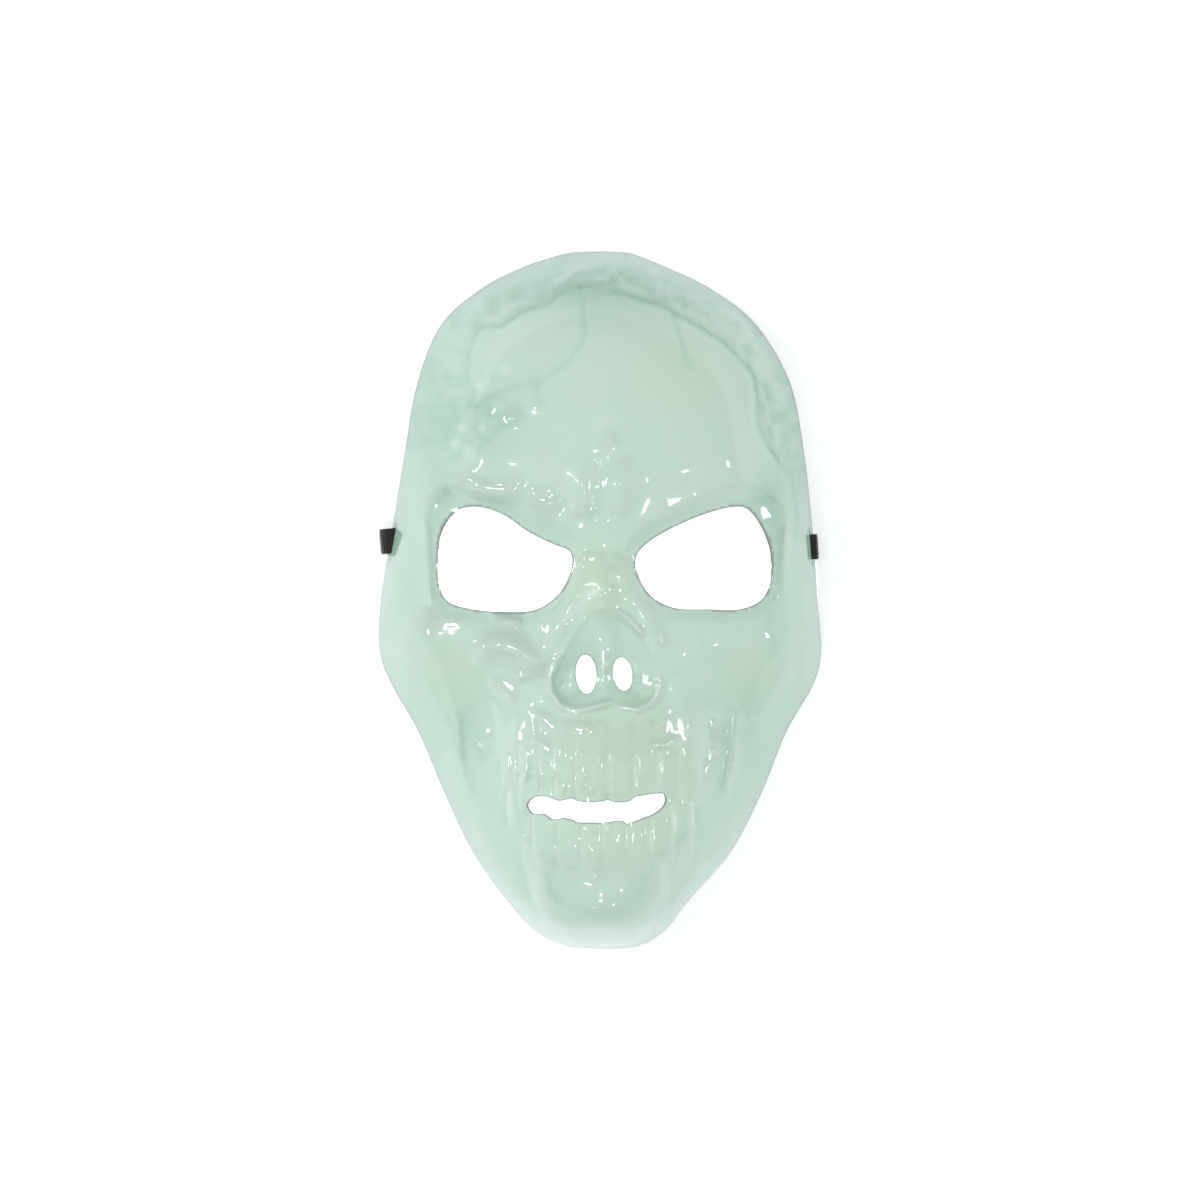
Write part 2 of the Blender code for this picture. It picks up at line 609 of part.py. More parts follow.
def build_band(face):
    """Corners and faces of the elastic band, one strip swept from tail to tail."""
    halves = []
    for on_right, centre_y, *shape in STRAP_ENDS:
        side = face.rim[(face.rim[:, 0] > 0) == on_right]
        rim_x = -abs(side[np.argmin(np.abs(side[:, 1] - centre_y)), 0])
        centres, widths, thick, crestward = band_half(rim_x, centre_y, *shape)
        if on_right:
            centres, widths, thick = (part[::-1][1:] * (-1, 1, 1) for part in (centres, widths, thick))
            crestward = ~crestward[::-1][1:]
        halves.append((centres, widths, thick, crestward))
    centres, widths, thick = (np.vstack([half[i] for half in halves]) for i in range(3))
    crestward = np.concatenate([half[3] for half in halves])
    corners = [
        centres + a * BAND_HALF_WIDTH * widths + b * BAND_HALF_THICK * thick
        for a, b in ((-1, -1), (1, -1), (1, 1), (-1, 1))
    ]
    points = np.stack(corners, 1).reshape(-1, 3)
    faces = [(0, 2, 1), (0, 3, 2)]
    for k in range(len(centres) - 1):
        for i in range(4):
            a, b = 4 * k + i, 4 * k + (i + 1) % 4
            if crestward[k] == (i < 2):
                faces.extend([(a, b + 4, a + 4), (a, b, b + 4)])
            else:
                faces.extend([(a, b, a + 4), (b, b + 4, a + 4)])
    last = len(points) - 4
    faces.extend([(last, last + 1, last + 2), (last, last + 2, last + 3)])
    return points, faces


def material(name, colour, roughness, specular):
    """A Principled material of one colour."""
    made = bpy.data.materials.new(name)
    made.use_nodes = True
    shader = made.node_tree.nodes["Principled BSDF"]
    shader.inputs["Base Color"].default_value = (*colour, 1.0)
    shader.inputs["Roughness"].default_value = roughness
    shader.inputs["Specular IOR Level"].default_value = specular
    made.diffuse_color = (*colour, 1.0)
    return made


def add_object(name, points, faces, finish):
    """Adds a mesh object in metres."""
    mesh = bpy.data.meshes.new(name)
    mesh.from_pydata((points * MM).tolist(), [], [tuple(int(i) for i in f) for f in faces])
    mesh.materials.append(finish)
    mesh.update()
    bpy.context.scene.collection.objects.link(bpy.data.objects.new(name, mesh))


def main():
    """Empties the scene and builds both pieces."""
    for thing in list(bpy.data.objects):
        bpy.data.objects.remove(thing, do_unlink=True)
    face = Face()
    plastic = material("glossy_plastic", PLASTIC_COLOUR, 0.25, 0.5)
    elastic = material("black_elastic", ELASTIC_COLOUR, 0.85, 0.3)
    add_object("mask_shell", *build_shell(face), plastic)
    add_object("elastic_band", *build_band(face), elastic)


main()
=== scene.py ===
"""Dresses the skull face mask: a thin, glossy, pale green vacuum-formed shell and its black elastic band.

Both CAD nodes are replaced by finer pieces of the same outline and height. The tables are in millimetres,
with +X to the right of the front view, +Y towards the forehead and +Z out of the face. The meshes are in
metres.
"""

import logging
import math
from dataclasses import dataclass, field
from enum import Enum
from typing import Sequence

import bpy
import numpy as np
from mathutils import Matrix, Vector
from mathutils.geometry import delaunay_2d_cdt


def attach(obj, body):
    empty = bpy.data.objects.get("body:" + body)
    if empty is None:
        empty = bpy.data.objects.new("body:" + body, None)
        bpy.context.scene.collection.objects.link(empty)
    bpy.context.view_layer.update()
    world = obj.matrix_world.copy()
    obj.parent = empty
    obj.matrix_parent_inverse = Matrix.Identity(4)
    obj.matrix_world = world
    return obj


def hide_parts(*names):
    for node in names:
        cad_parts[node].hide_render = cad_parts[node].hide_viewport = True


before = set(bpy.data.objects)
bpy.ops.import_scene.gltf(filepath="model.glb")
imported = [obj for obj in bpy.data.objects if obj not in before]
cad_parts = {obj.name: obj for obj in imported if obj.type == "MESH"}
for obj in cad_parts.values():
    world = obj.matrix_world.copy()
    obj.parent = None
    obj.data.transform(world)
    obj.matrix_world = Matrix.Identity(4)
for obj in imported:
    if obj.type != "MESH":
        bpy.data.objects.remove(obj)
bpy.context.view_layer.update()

LOG = logging.getLogger("skull_mask")
MM = 0.001
Pair = tuple[float, float]

# Rim seen from the front. Columns: y, left x, right x.
RIM_ROWS = (
    (134.8, -9.0, 8.5),
    (133.0, -18.0, 15.5),
    (128.5, -31.0, 26.5),
    (121.0, -45.5, 42.0),
    (107.0, -61.5, 60.0),
    (84.0, -71.0, 73.5),
    (56.0, -76.0, 79.0),
    (28.0, -80.5, 82.0),
    (0.0, -85.0, 84.0),
    (-19.5, -85.5, 85.5),
    (-32.5, -81.0, 82.5),
    (-51.0, -70.5, 72.0),
    (-74.5, -60.5, 62.5),
    (-97.5, -49.5, 50.5),
    (-116.0, -36.5, 34.5),
    (-128.0, -25.5, 25.0),
    (-133.5, -15.0, 16.0),
    (-134.8, -6.5, 8.0),
)

LEFT_EYE = (
    (-46.0, 35.0), (-36.5, 32.0), (-27.0, 25.5), (-18.0, 21.0), (-11.5, 18.0), (-11.0, 11.5),
    (-15.5, 2.5), (-24.0, -3.5), (-35.5, -4.5), (-48.0, -3.5), (-57.5, -0.5), (-61.0, 6.5),
    (-61.5, 17.0), (-60.0, 26.5), (-54.5, 33.5),
)
RIGHT_EYE = (
    (50.0, 35.0), (40.0, 32.5), (28.0, 27.5), (18.5, 22.0), (13.5, 16.5), (14.0, 9.5), (19.0, 1.5),
    (28.0, -3.0), (40.5, -3.5), (52.0, -3.5), (60.5, 0.0), (64.5, 7.5), (64.5, 18.5), (61.0, 28.0),
    (56.0, 34.0),
)
MOUTH = (
    (-27.5, -77.0), (-25.5, -80.0), (-21.5, -80.0), (-18.0, -82.0), (-14.5, -81.5), (-11.0, -82.0),
    (-8.0, -83.0), (-3.0, -83.0), (1.0, -83.0), (5.0, -82.5), (8.5, -82.5), (10.0, -83.5),
    (14.5, -82.0), (19.0, -80.5), (23.0, -78.0), (24.5, -75.0), (23.5, -72.5), (20.0, -72.5),
    (16.0, -73.0), (13.0, -73.5), (11.0, -75.0), (7.0, -75.5), (4.0, -75.0), (2.5, -74.5),
    (1.0, -75.0), (-4.0, -75.5), (-8.5, -75.0), (-11.0, -74.0), (-15.5, -75.0), (-20.0, -73.5),
    (-25.0, -74.0),
)

# Nostril holes. Columns: x, y, half width, half height, lean of the top in degrees.
NOSTRILS = (
    (-5.4, -27.8, 3.9, 7.3, 3.0),
    (8.3, -27.7, 3.6, 6.3, 8.0),
)

# Outer limit of the hollow round each eye
LEFT_ORBIT = (
    (-66.5, 34.0), (-64.5, 41.5), (-58.0, 45.5), (-49.5, 45.7), (-40.0, 43.2), (-31.0, 40.0),
    (-22.5, 35.8), (-14.5, 31.0), (-8.0, 25.0), (-5.8, 17.5), (-6.6, 9.5), (-9.8, 2.5),
    (-14.0, -3.5), (-20.0, -7.8), (-28.0, -9.3), (-38.0, -9.4), (-49.0, -8.3), (-58.0, -6.0),
    (-64.0, -0.6), (-66.2, 8.0), (-66.8, 17.0), (-67.0, 26.0),
)
RIGHT_ORBIT = (
    (70.5, 34.0), (68.5, 41.5), (62.5, 45.5), (54.0, 45.7), (45.0, 43.0), (35.0, 39.3),
    (25.5, 34.8), (17.0, 29.8), (10.6, 24.2), (8.4, 17.0), (9.0, 9.0), (12.3, 2.0),
    (17.0, -3.6), (23.0, -7.2), (32.0, -8.3), (44.0, -8.6), (55.0, -7.8), (63.5, -4.0),
    (68.5, 3.0), (70.2, 13.0), (70.8, 24.0),
)

# Rim of the nose opening, as a rounded triangle with a dip at its foot
NOSE_OPENING = (
    (0.0, -3.0), (6.5, -4.0), (12.5, -9.0), (17.0, -15.5), (20.5, -22.0), (22.0, -30.0),
    (21.5, -37.0), (17.0, -41.0), (10.5, -41.0), (3.5, -38.5), (-3.0, -39.5), (-10.5, -41.5),
    (-16.5, -39.5), (-19.5, -33.5), (-18.0, -25.5), (-13.5, -18.5), (-9.0, -11.5), (-4.5, -5.5),
)

# Lie of the whole face. Columns: y, height on the midline, drop 60 mm aside, width of the rounded side wall.
SECTIONS = (
    (140.0, 51.0, 12.0, 44.0),
    (115.0, 61.0, 15.0, 44.0),
    (85.0, 69.0, 17.0, 42.0),
    (60.0, 72.0, 17.0, 38.0),
    (35.0, 72.0, 15.0, 32.0),
    (10.0, 69.0, 13.0, 28.0),
    (-20.0, 68.0, 14.0, 28.0),
    (-50.0, 67.0, 24.0, 28.0),
    (-80.0, 66.0, 30.0, 28.0),
    (-110.0, 62.0, 26.0, 27.0),
    (-140.0, 56.0, 20.0, 27.0),
)

# Rounded swells and hollows of the bones. Columns: x, y, half width, half height, turn in degrees, rise.
BONE_SWELLS = (
    (0.0, 80.0, 45.0, 32.0, 0.0, 2.5),
    (-36.0, 51.0, 25.0, 8.5, -8.0, 3.2),
    (38.0, 51.0, 25.0, 8.5, 8.0, 3.2),
    (-6.5, 40.0, 5.5, 10.0, 8.0, 3.0),
    (7.0, 41.0, 6.5, 11.0, -8.0, 4.2),
    (1.0, 3.0, 6.5, 10.5, 0.0, 8.5),
    (-14.5, -9.0, 5.5, 17.0, -28.0, 4.5),
    (17.5, -9.0, 5.5, 17.0, 28.0, 4.5),
    (-67.0, -16.0, 9.0, 8.5, 35.0, 5.0),
    (-45.0, -16.0, 20.0, 8.0, -12.0, 4.5),
    (70.0, -20.0, 9.0, 9.0, -35.0, 4.0),
    (48.0, -16.0, 20.0, 8.0, 12.0, 4.5),
    (-44.0, -48.0, 11.0, 20.0, 12.0, -6.5),
    (48.0, -48.0, 11.0, 20.0, -12.0, -6.5),
    (0.0, -60.0, 31.0, 19.0, 0.0, 9.5),
    (0.0, -92.0, 27.0, 14.0, 0.0, 6.5),
    (0.0, -119.0, 21.0, 9.0, 0.0, 7.5),
    (-59.0, 62.0, 10.0, 22.0, 4.0, -3.5),
    (63.0, 58.0, 8.0, 22.0, -6.0, -3.0),
    (-31.0, -110.0, 5.0, 15.0, 25.0, -3.0),
    (29.0, -110.0, 5.0, 15.0, -20.0, -3.0),
)

# Grooves and ridges of the bones along a run of points. Columns: rise, half width, points.
BONE_FOLDS = (
    (-1.8, 3.0, ((0.0, 50.0), (-1.0, 42.0), (-1.5, 33.0))),
    (1.3, 2.2, ((-67.0, 34.0), (-66.3, 24.0), (-65.6, 14.0), (-65.2, 0.0))),
    (1.1, 2.2, ((71.0, 34.0), (70.2, 24.0), (69.6, 14.0), (68.6, 2.0))),
    (-1.6, 3.0, ((-78.5, -23.0), (-75.0, -14.0), (-70.0, -8.5), (-62.0, -7.0))),
    (-1.8, 2.4, ((81.5, -28.0), (76.0, -33.5), (68.5, -35.5))),
    (1.1, 2.2, ((-58.0, -50.0), (-55.2, -62.0), (-51.5, -73.0))),
    (1.1, 2.2, ((51.0, -44.0), (50.4, -57.0), (47.5, -71.0))),
    (-1.6, 3.0, ((-29.5, -94.0), (-28.0, -103.0), (-26.5, -112.0))),
    (-1.6, 3.0, ((25.0, -101.0), (26.0, -109.0), (26.0, -116.0))),
)

# Teeth from left to right. Columns: left edge, right edge, biting end, gum line, rise.
UPPER_TEETH = (
    (-37.5, -30.8, -70.0, -56.5, 0.7),
    (-30.8, -23.0, -72.5, -56.5, 0.8),
    (-23.0, -17.4, -74.5, -57.0, 0.9),
    (-17.4, -9.3, -75.5, -57.0, 1.1),
    (-9.3, 2.6, -76.5, -58.5, 1.3),
    (2.6, 12.8, -76.5, -58.5, 1.3),
    (12.8, 22.0, -74.5, -57.0, 1.1),
    (22.0, 30.3, -73.0, -56.5, 0.9),
    (30.3, 38.5, -71.0, -56.0, 0.7),
)
LOWER_TEETH = (
    (-34.5, -25.7, -80.5, -95.0, 0.8),
    (-25.7, -16.4, -80.5, -96.0, 0.9),
    (-16.4, -7.3, -81.5, -96.5, 1.0),
    (-7.3, 0.8, -82.5, -97.0, 1.0),
    (0.8, 9.6, -82.5, -97.0, 1.0),
    (9.6, 18.7, -81.5, -96.5, 1.0),
    (18.7, 27.7, -80.0, -96.0, 0.9),
    (27.7, 35.0, -79.5, -94.5, 0.8),
)

# Cracks of the skull cap. Columns: depth, half width, points.
CRACKS = (
    (
        0.25, 1.0,
        ((-50.0, 92.0), (-48.0, 98.0), (-46.6, 101.0), (-45.1, 102.9), (-41.0, 104.0), (-37.6, 102.9),
         (-33.1, 105.5), (-28.6, 108.5), (-20.8, 110.7), (-18.1, 112.2), (-14.8, 116.3), (-9.5, 117.4),
         (0.6, 118.2), (5.0, 120.1), (10.7, 124.2), (12.9, 127.5)),
    ),
    (
        0.3, 1.0,
        ((1.7, 116.6), (10.7, 114.1), (18.5, 111.5), (24.1, 110.0), (27.5, 106.6), (29.0, 99.9), (30.9, 93.1),
         (33.5, 87.1)),
    ),
    (
        0.3, 1.1,
        ((27.5, 107.6), (34.2, 104.3), (39.8, 100.6), (45.4, 97.6), (49.9, 93.9), (54.8, 89.4), (57.8, 84.2),
         (59.3, 76.3), (58.9, 67.3), (61.1, 60.6), (64.5, 56.1), (69.0, 51.6), (72.4, 44.9), (73.9, 38.0)),
    ),
    (0.3, 1.0, ((61.0, 82.5), (64.5, 75.0), (66.8, 67.3), (69.5, 59.0), (71.2, 48.6), (73.1, 42.6),
                (74.6, 36.0), (74.6, 29.5), (74.2, 23.9))),
    (
        0.35, 1.2,
        ((-6.9, 117.6), (-6.2, 106.6), (-5.8, 98.4), (-8.4, 93.9), (-12.9, 88.6), (-19.3, 84.2),
         (-24.1, 79.0), (-21.9, 74.1)),
    ),
    (0.25, 1.4, ((-23.5, 82.2), (-32.0, 79.7), (-38.7, 77.4), (-44.3, 74.1), (-47.0, 72.5))),
    (0.35, 1.0, ((-49.0, 91.0), (-49.5, 84.0), (-47.0, 78.0), (-50.0, 72.0))),
)


class Region(Enum):
    """Lumpy stretches of the moulded bone, each with its outline and the rise and size of its lumps."""

    CAP = (
        ((-46.6, 101.0), (-37.6, 102.9), (-28.6, 108.5), (-18.1, 112.2), (-9.5, 117.4), (10.7, 114.1),
         (24.1, 110.0), (45.4, 97.6), (57.8, 84.2), (58.9, 67.3), (64.5, 56.1), (73.9, 38.0),
         (95.0, 38.0), (95.0, 150.0), (-95.0, 150.0), (-95.0, 96.0)),
        1.1,
        5.0,
    )
    LEFT_TEMPLE = (
        ((-95.0, 97.0), (-49.0, 97.0), (-47.0, 78.0), (-26.0, 80.0), (-21.0, 72.0), (-30.0, 62.0),
         (-44.0, 54.0), (-56.0, 49.0), (-95.0, 50.0)),
        0.45,
        6.0,
    )
    CHEEKS = (
        ((-80.0, -24.0), (-30.0, -24.0), (-24.0, -50.0), (24.0, -50.0), (34.0, -24.0), (80.0, -26.0),
         (48.0, -88.0), (30.0, -104.0), (-30.0, -104.0), (-50.0, -88.0)),
        0.16,
        4.5,
    )

    @property
    def outline(self) -> tuple[Pair, ...]:
        """The region's outline over the front view."""
        return self.value[0]

    @property
    def rise(self) -> float:
        """How high its lumps stand."""
        return self.value[1]

    @property
    def size(self) -> float:
        """How wide its lumps are."""
        return self.value[2]


# Fine ridges and grooves, half width under 2 mm. Columns: rise, half width, points.
FINE_FOLDS = (
    # Brows
    (0.5, 1.3, ((36.5, 38.1), (46.6, 41.1), (54.4, 42.3), (62.3, 41.5), (67.5, 38.0))),
    # Between the brows
    (0.4, 2.0, ((-0.4, 34.0), (0.0, 39.3), (0.9, 43.4), (3.2, 47.6), (6.5, 49.9), (10.7, 51.2))),
    (-0.4, 2.0, ((-3.6, 47.0), (-3.9, 40.0), (-3.6, 34.0))),
    # Root of the nose
    (-0.4, 1.4, ((-2.1, 4.5), (-5.0, 2.0), (-8.4, -1.5), (-11.8, -6.7))),
    # Sides of the eye holes
    (0.3, 1.1, ((-67.4, 31.6), (-66.0, 27.7), (-64.8, 21.0), (-64.2, 13.5), (-63.9, 1.0))),
    (0.5, 1.0, ((70.5, 27.7), (68.8, 20.0), (68.3, 13.5), (67.4, 7.0))),
    # Cheekbones
    (-0.6, 2.0, ((-43.0, -23.6), (-34.5, -23.4), (-26.5, -25.6))),
    # Strands of the upper jaw
    (0.25, 1.3, ((-40.0, -38.0), (-37.0, -42.0), (-36.4, -48.0))),
    (0.25, 1.3, ((-34.5, -36.0), (-31.0, -42.0), (-31.5, -50.0))),
    (0.3, 1.4, ((-27.6, -36.0), (-26.2, -43.0), (-24.9, -48.5))),
    (0.25, 1.3, ((32.0, -38.0), (33.0, -46.0), (33.5, -52.0))),
    # Grooves at the corners of the mouth
    (-0.5, 1.5, ((-34.9, -71.8), (-35.0, -78.0), (-34.2, -84.5))),
    (-0.4, 1.3, ((-27.6, -80.8), (-27.8, -87.0))),
    (-0.5, 1.4, ((27.6, -77.8), (28.4, -85.6))),
    (-0.4, 1.3, ((35.0, -76.5), (34.8, -84.6))),
    # Chin
    (-0.35, 1.6, ((-29.3, -93.0), (-28.0, -102.0), (-26.0, -112.0), (-23.5, -119.0))),
    (-0.3, 1.5, ((24.8, -101.0), (25.6, -108.0), (25.4, -115.0))),
)

# Small bumps and dimples. Columns: x, y, half width, half height, turn in degrees, rise.
BEADS = (
    (-3.2, 2.6, 1.9, 1.9, 0.0, -0.8),
    (3.6, 8.2, 1.6, 1.5, 0.0, -0.7),
    (6.9, 7.1, 1.6, 1.6, 0.0, -0.7),
    (-24.2, -105.6, 2.2, 2.2, 0.0, -0.8),
    (-45.4, 80.8, 2.2, 2.2, 0.0, -0.6),
    (-36.5, 86.0, 2.2, 2.0, 0.0, -0.6),
    (-52.9, 65.1, 2.4, 2.2, 0.0, -0.7),
    (-45.4, 64.7, 2.0, 2.0, 0.0, -0.6),
    (-55.5, 59.1, 2.4, 2.2, 0.0, -0.7),
    (-49.9, 55.0, 2.2, 2.0, 0.0, -0.7),
)

# Rounded roots over the upper teeth. Columns: x of the middle, y of the top, half width, rise.
UPPER_ROOTS = (
    (-24.8, -45.6, 2.2, 0.4),
    (-21.6, -47.0, 1.4, 0.4),
    (-13.7, -46.6, 2.9, 0.5),
    (-6.9, -46.8, 2.3, 0.45),
    (0.2, -46.6, 2.9, 0.45),
    (10.3, -47.0, 3.2, 0.4),
    (18.3, -44.9, 2.4, 0.4),
    (24.0, -43.6, 1.9, 0.4),
)

# The photograph's middle in its own pixels, and millimetres of the face to a pixel
PHOTO_MIDDLE = (600.5, 600.0)
PHOTO_SCALE = 0.374

# Small bumps that catch a lamp where the photograph shows a highlight, read off one by one.
# Columns: half width, points of a spot or line in the photograph's pixels.
GLINTS = (
    # Forehead
    (2.2, ((517, 420),)),
    (2.2, ((605, 440),)),
    # Left brow
    (2.6, ((426, 498), (436, 488), (448, 482))),
    (2.2, ((455, 480), (470, 480))),
    (2.6, ((479, 486), (497, 490), (515, 489))),
    (1.3, ((499, 476),)),
    (2.0, ((537, 498), (545, 501), (552, 504))),
    (1.2, ((575, 511), (590, 511))),
    # Right brow and between the brows
    (1.1, ((600, 505),)),
    (1.2, ((622, 508),)),
    (1.0, ((661, 502),)),
    (1.0, ((784, 502),)),
    # Root and ridge of the nose
    (1.3, ((585, 559), (597, 557))),
    (1.2, ((613, 559), (621, 562))),
    (1.0, ((629, 563),)),
    (1.2, ((601, 609),)),
    (1.2, ((617, 611), (629, 620), (640, 631))),
    # Nose opening
    (1.1, ((603, 653), (603, 670))),
    (1.6, ((640, 681), (650, 684))),
    (1.0, ((557, 681),)),
    (1.1, ((558, 657), (550, 677), (552, 693), (560, 705), (573, 711), (590, 708), (607, 703))),
    (1.1, ((620, 707), (637, 710), (650, 703), (658, 692), (660, 680))),
    (1.2, ((663, 712),)),
    # Left cheekbone
    (2.8, ((401, 651), (410, 640), (420, 628), (429, 622), (436, 625))),
    (1.8, ((444, 624), (455, 624))),
    (1.6, ((498, 623), (514, 623))),
    (3.0, ((487, 651), (495, 646), (504, 644), (513, 648), (522, 653), (531, 660))),
    (1.9, ((548, 628),)),
    (0.9, ((539, 647),)),
    (1.9, ((497, 678), (504, 683), (511, 690))),
    (1.3, ((520, 677), (528, 673))),
    # Right cheekbone
    (1.0, ((699, 644),)),
    (0.9, ((661, 633), (661, 643))),
    (0.9, ((676, 657),)),
    (0.9, ((676, 669),)),
    (1.0, ((682, 679),)),
    (0.9, ((686, 692),)),
    (1.0, ((694, 694),)),
    (1.4, ((812, 677), (798, 687), (784, 691))),
    # Jaw
    (1.5, ((445, 740), (453, 767), (461, 791))),
    (1.3, ((457, 715), (459, 753), (467, 783))),
    (1.4, ((734, 720), (734, 750), (732, 767), (727, 783))),
    (1.3, ((743, 783), (737, 797))),
    (1.1, ((712, 722), (717, 737))),
    (1.1, ((714, 752), (707, 773))),
    (0.9, ((703, 762),)),
    (0.9, ((685, 773),)),
    (1.0, ((653, 745), (667, 745), (673, 741))),
    (0.9, ((682, 747),)),
    # Roots of the upper teeth
    (1.8, ((542, 717), (548, 723), (553, 727))),
    (1.4, ((563, 727),)),
    (1.8, ((578, 729), (587, 729))),
    (1.5, ((601, 728),)),
    (1.1, ((628, 730),)),
    (1.1, ((648, 724),)),
    (0.9, ((657, 727),)),
    (1.4, ((486, 732),)),
    (1.4, ((519, 738),)),
    (1.2, ((538, 742), (548, 749))),
    (1.0, ((545, 756),)),
    (1.0, ((560, 751),)),
    (1.0, ((583, 754),)),
    (0.9, ((634, 755),)),
    (1.0, ((629, 766),)),
    # Necks of the upper teeth
    (1.0, ((499, 763),)),
    (0.9, ((508, 757), (508, 767))),
    (0.9, ((518, 767), (518, 773))),
    (0.9, ((527, 753), (526, 770), (524, 780))),
    (0.9, ((538, 775), (538, 785))),
    (1.0, ((554, 765), (554, 773))),
    (1.1, ((564, 783), (563, 788))),
    (1.0, ((583, 767), (583, 775))),
    (0.9, ((582, 785),)),
    (0.9, ((592, 790),)),
    (0.9, ((602, 790),)),
    (0.9, ((609, 790),)),
    (0.9, ((616, 790),)),
    (0.9, ((628, 791),)),
    (0.9, ((694, 797),)),
    # Corners of the mouth
    (0.9, ((678, 800),)),
    (0.9, ((683, 803),)),
    (0.9, ((673, 810),)),
    (0.9, ((670, 803),)),
    (0.9, ((695, 798),)),
    (0.9, ((687, 837), (683, 841))),
    (0.9, ((667, 822),)),
    (0.9, ((523, 808),)),
    (0.9, ((527, 816),)),
    (0.9, ((524, 837),)),
    (0.9, ((527, 852),)),
    # Lower teeth
    (0.9, ((588, 829),)),
    (0.9, ((610, 830),)),
    (0.9, ((620, 830),)),
    (0.9, ((645, 833),)),
    (1.0, ((542, 849),)),
    (0.9, ((555, 847),)),
    (0.9, ((567, 851),)),
    (0.9, ((595, 852),)),
    (0.9, ((623, 851),)),
    (0.9, ((640, 849),)),
    (0.9, ((652, 858), (660, 859))),
    (1.1, ((677, 862),)),
    (1.5, ((545, 862), (556, 858))),
    (1.4, ((568, 863),)),
    (1.3, ((597, 863),)),
    (1.8, ((545, 877),)),
    (0.9, ((563, 871),)),
    (1.5, ((572, 876),)),
    (1.5, ((595, 875),)),
    (1.0, ((628, 877),)),
    (0.9, ((648, 877),)),
    (0.9, ((659, 875),)),
    # Chin
    (1.6, ((540, 901),)),
    (1.8, ((548, 893), (555, 899))),
    (2.4, ((553, 917), (562, 917), (569, 925))),
    (1.6, ((653, 923), (658, 917), (663, 913))),
)

# Patches of painted shade in the hollow of the left temple and at the outer corners of the eye sockets, and
# darker colour over the top of the cap. Columns: x, y, half width, half height, turn in degrees, share.
SHADE_PATCHES = (
    (-52.0, 66.0, 16.0, 16.0, 0.0, 0.5),
    (-62.0, 44.0, 8.0, 7.0, 0.0, 0.2),
    (64.0, 40.0, 7.0, 8.0, 0.0, 0.2),
    (0.0, 122.0, 52.0, 12.0, 0.0, 0.8),
)

# Patches of warmer colour. Columns: x, y, half width, half height, turn in degrees, share.
COLOUR_TINTS = (
    (-60.0, -30.0, 14.0, 12.0, 0.0, 0.5),
    (0.0, 8.0, 12.0, 12.0, 0.0, 0.5),
    (10.0, -70.0, 30.0, 30.0, 0.0, 0.4),
    (30.0, 85.0, 20.0, 14.0, 0.0, 0.35),
    (60.0, -30.0, 14.0, 12.0, 0.0, 0.4),
)

CAMERA_PLACE = (-0.0002, 0.0, 1.937)

# Lamps. Columns: name, place, width, length, power in watts.
LAMPS = (
    ("key_lamp", (-1.08, 0.19, 1.67), 0.1, 0.1, 8.0),
    ("top_lamp", (0.05, 0.15, 2.0), 0.09, 0.09, 4.8),
    ("right_lamp", (0.98, -0.5, 1.65), 0.1, 0.1, 3.4),
    ("low_lamp", (-0.5, -0.98, 1.65), 0.1, 0.1, 2.4),
    ("left_side_strip", (-1.85, 0.2, 0.66), 0.5, 0.2, 5.0),
    ("right_side_strip", (1.85, 0.1, 0.72), 0.5, 0.2, 4.0),
)

# The two lamps that give the sharp highlights
BRIGHT_LAMPS = ("key_lamp", "top_lamp")

# The stretch of the shell with the smallest forms, which gets the finest mesh
FINE_PART = (
    (-46.0, -16.0), (-30.0, -8.0), (0.0, 6.0), (30.0, -8.0), (46.0, -16.0), (54.0, -50.0),
    (48.0, -84.0), (30.0, -118.0), (-30.0, -118.0), (-44.0, -90.0), (-60.0, -74.0), (-62.0, -50.0),
    (-56.0, -36.0),
)

# Each strap end.
# Columns: on the right, slit centre y, heading in degrees, loose bulge, its start from the rim.
STRAP_ENDS = (
    (False, 22.8, 5.0, 2.9, -0.5),
    (True, 20.6, -3.4, 1.0, -0.2),
)


# SECTIONS gives the face's drop this far aside of the midline
DROP_REACH = 60.0

# The steepest flank of a bump of the shape exp(-r * r), for a rise and half width of 1
STEEPEST_FLANK = 0.858

# What a straight rim pulls on a point one millimetre away, by the fifth power of distance
STRAIGHT_PULL = 4.0 / 3.0

# How a tooth fades into the gum above its middle and below it. Columns: start, slope.
TOOTH_FADE_UP = (1.5, -0.8)
TOOTH_FADE_DOWN = (2.6, 1.3)

# Fixed numbers that scatter the lumps without a random seed
NOISE_TURNS = (12.9898, 78.233)
NOISE_REACH = 43758.5453


def linear(code: str) -> tuple[float, float, float, float]:
    """Turns an sRGB hex colour into linear values.

    Args:
        code: six hex digits, with or without a leading #.

    Returns:
        Red, green, blue and an alpha of 1.
    """
    parts = [int(code.lstrip("#")[k : k + 2], 16) / 255 for k in (0, 2, 4)]
    red, green, blue = (p / 12.92 if p <= 0.04045 else ((p + 0.055) / 1.055) ** 2.4 for p in parts)
    return red, green, blue, 1.0


def from_photo(place: Pair) -> Pair:
    """Turns a place in the photograph into millimetres over the front view.

    Args:
        place: its pixel across and down.

    Returns:
        The x and y of the place.
    """
    return (place[0] - PHOTO_MIDDLE[0]) * PHOTO_SCALE, (PHOTO_MIDDLE[1] - place[1]) * PHOTO_SCALE


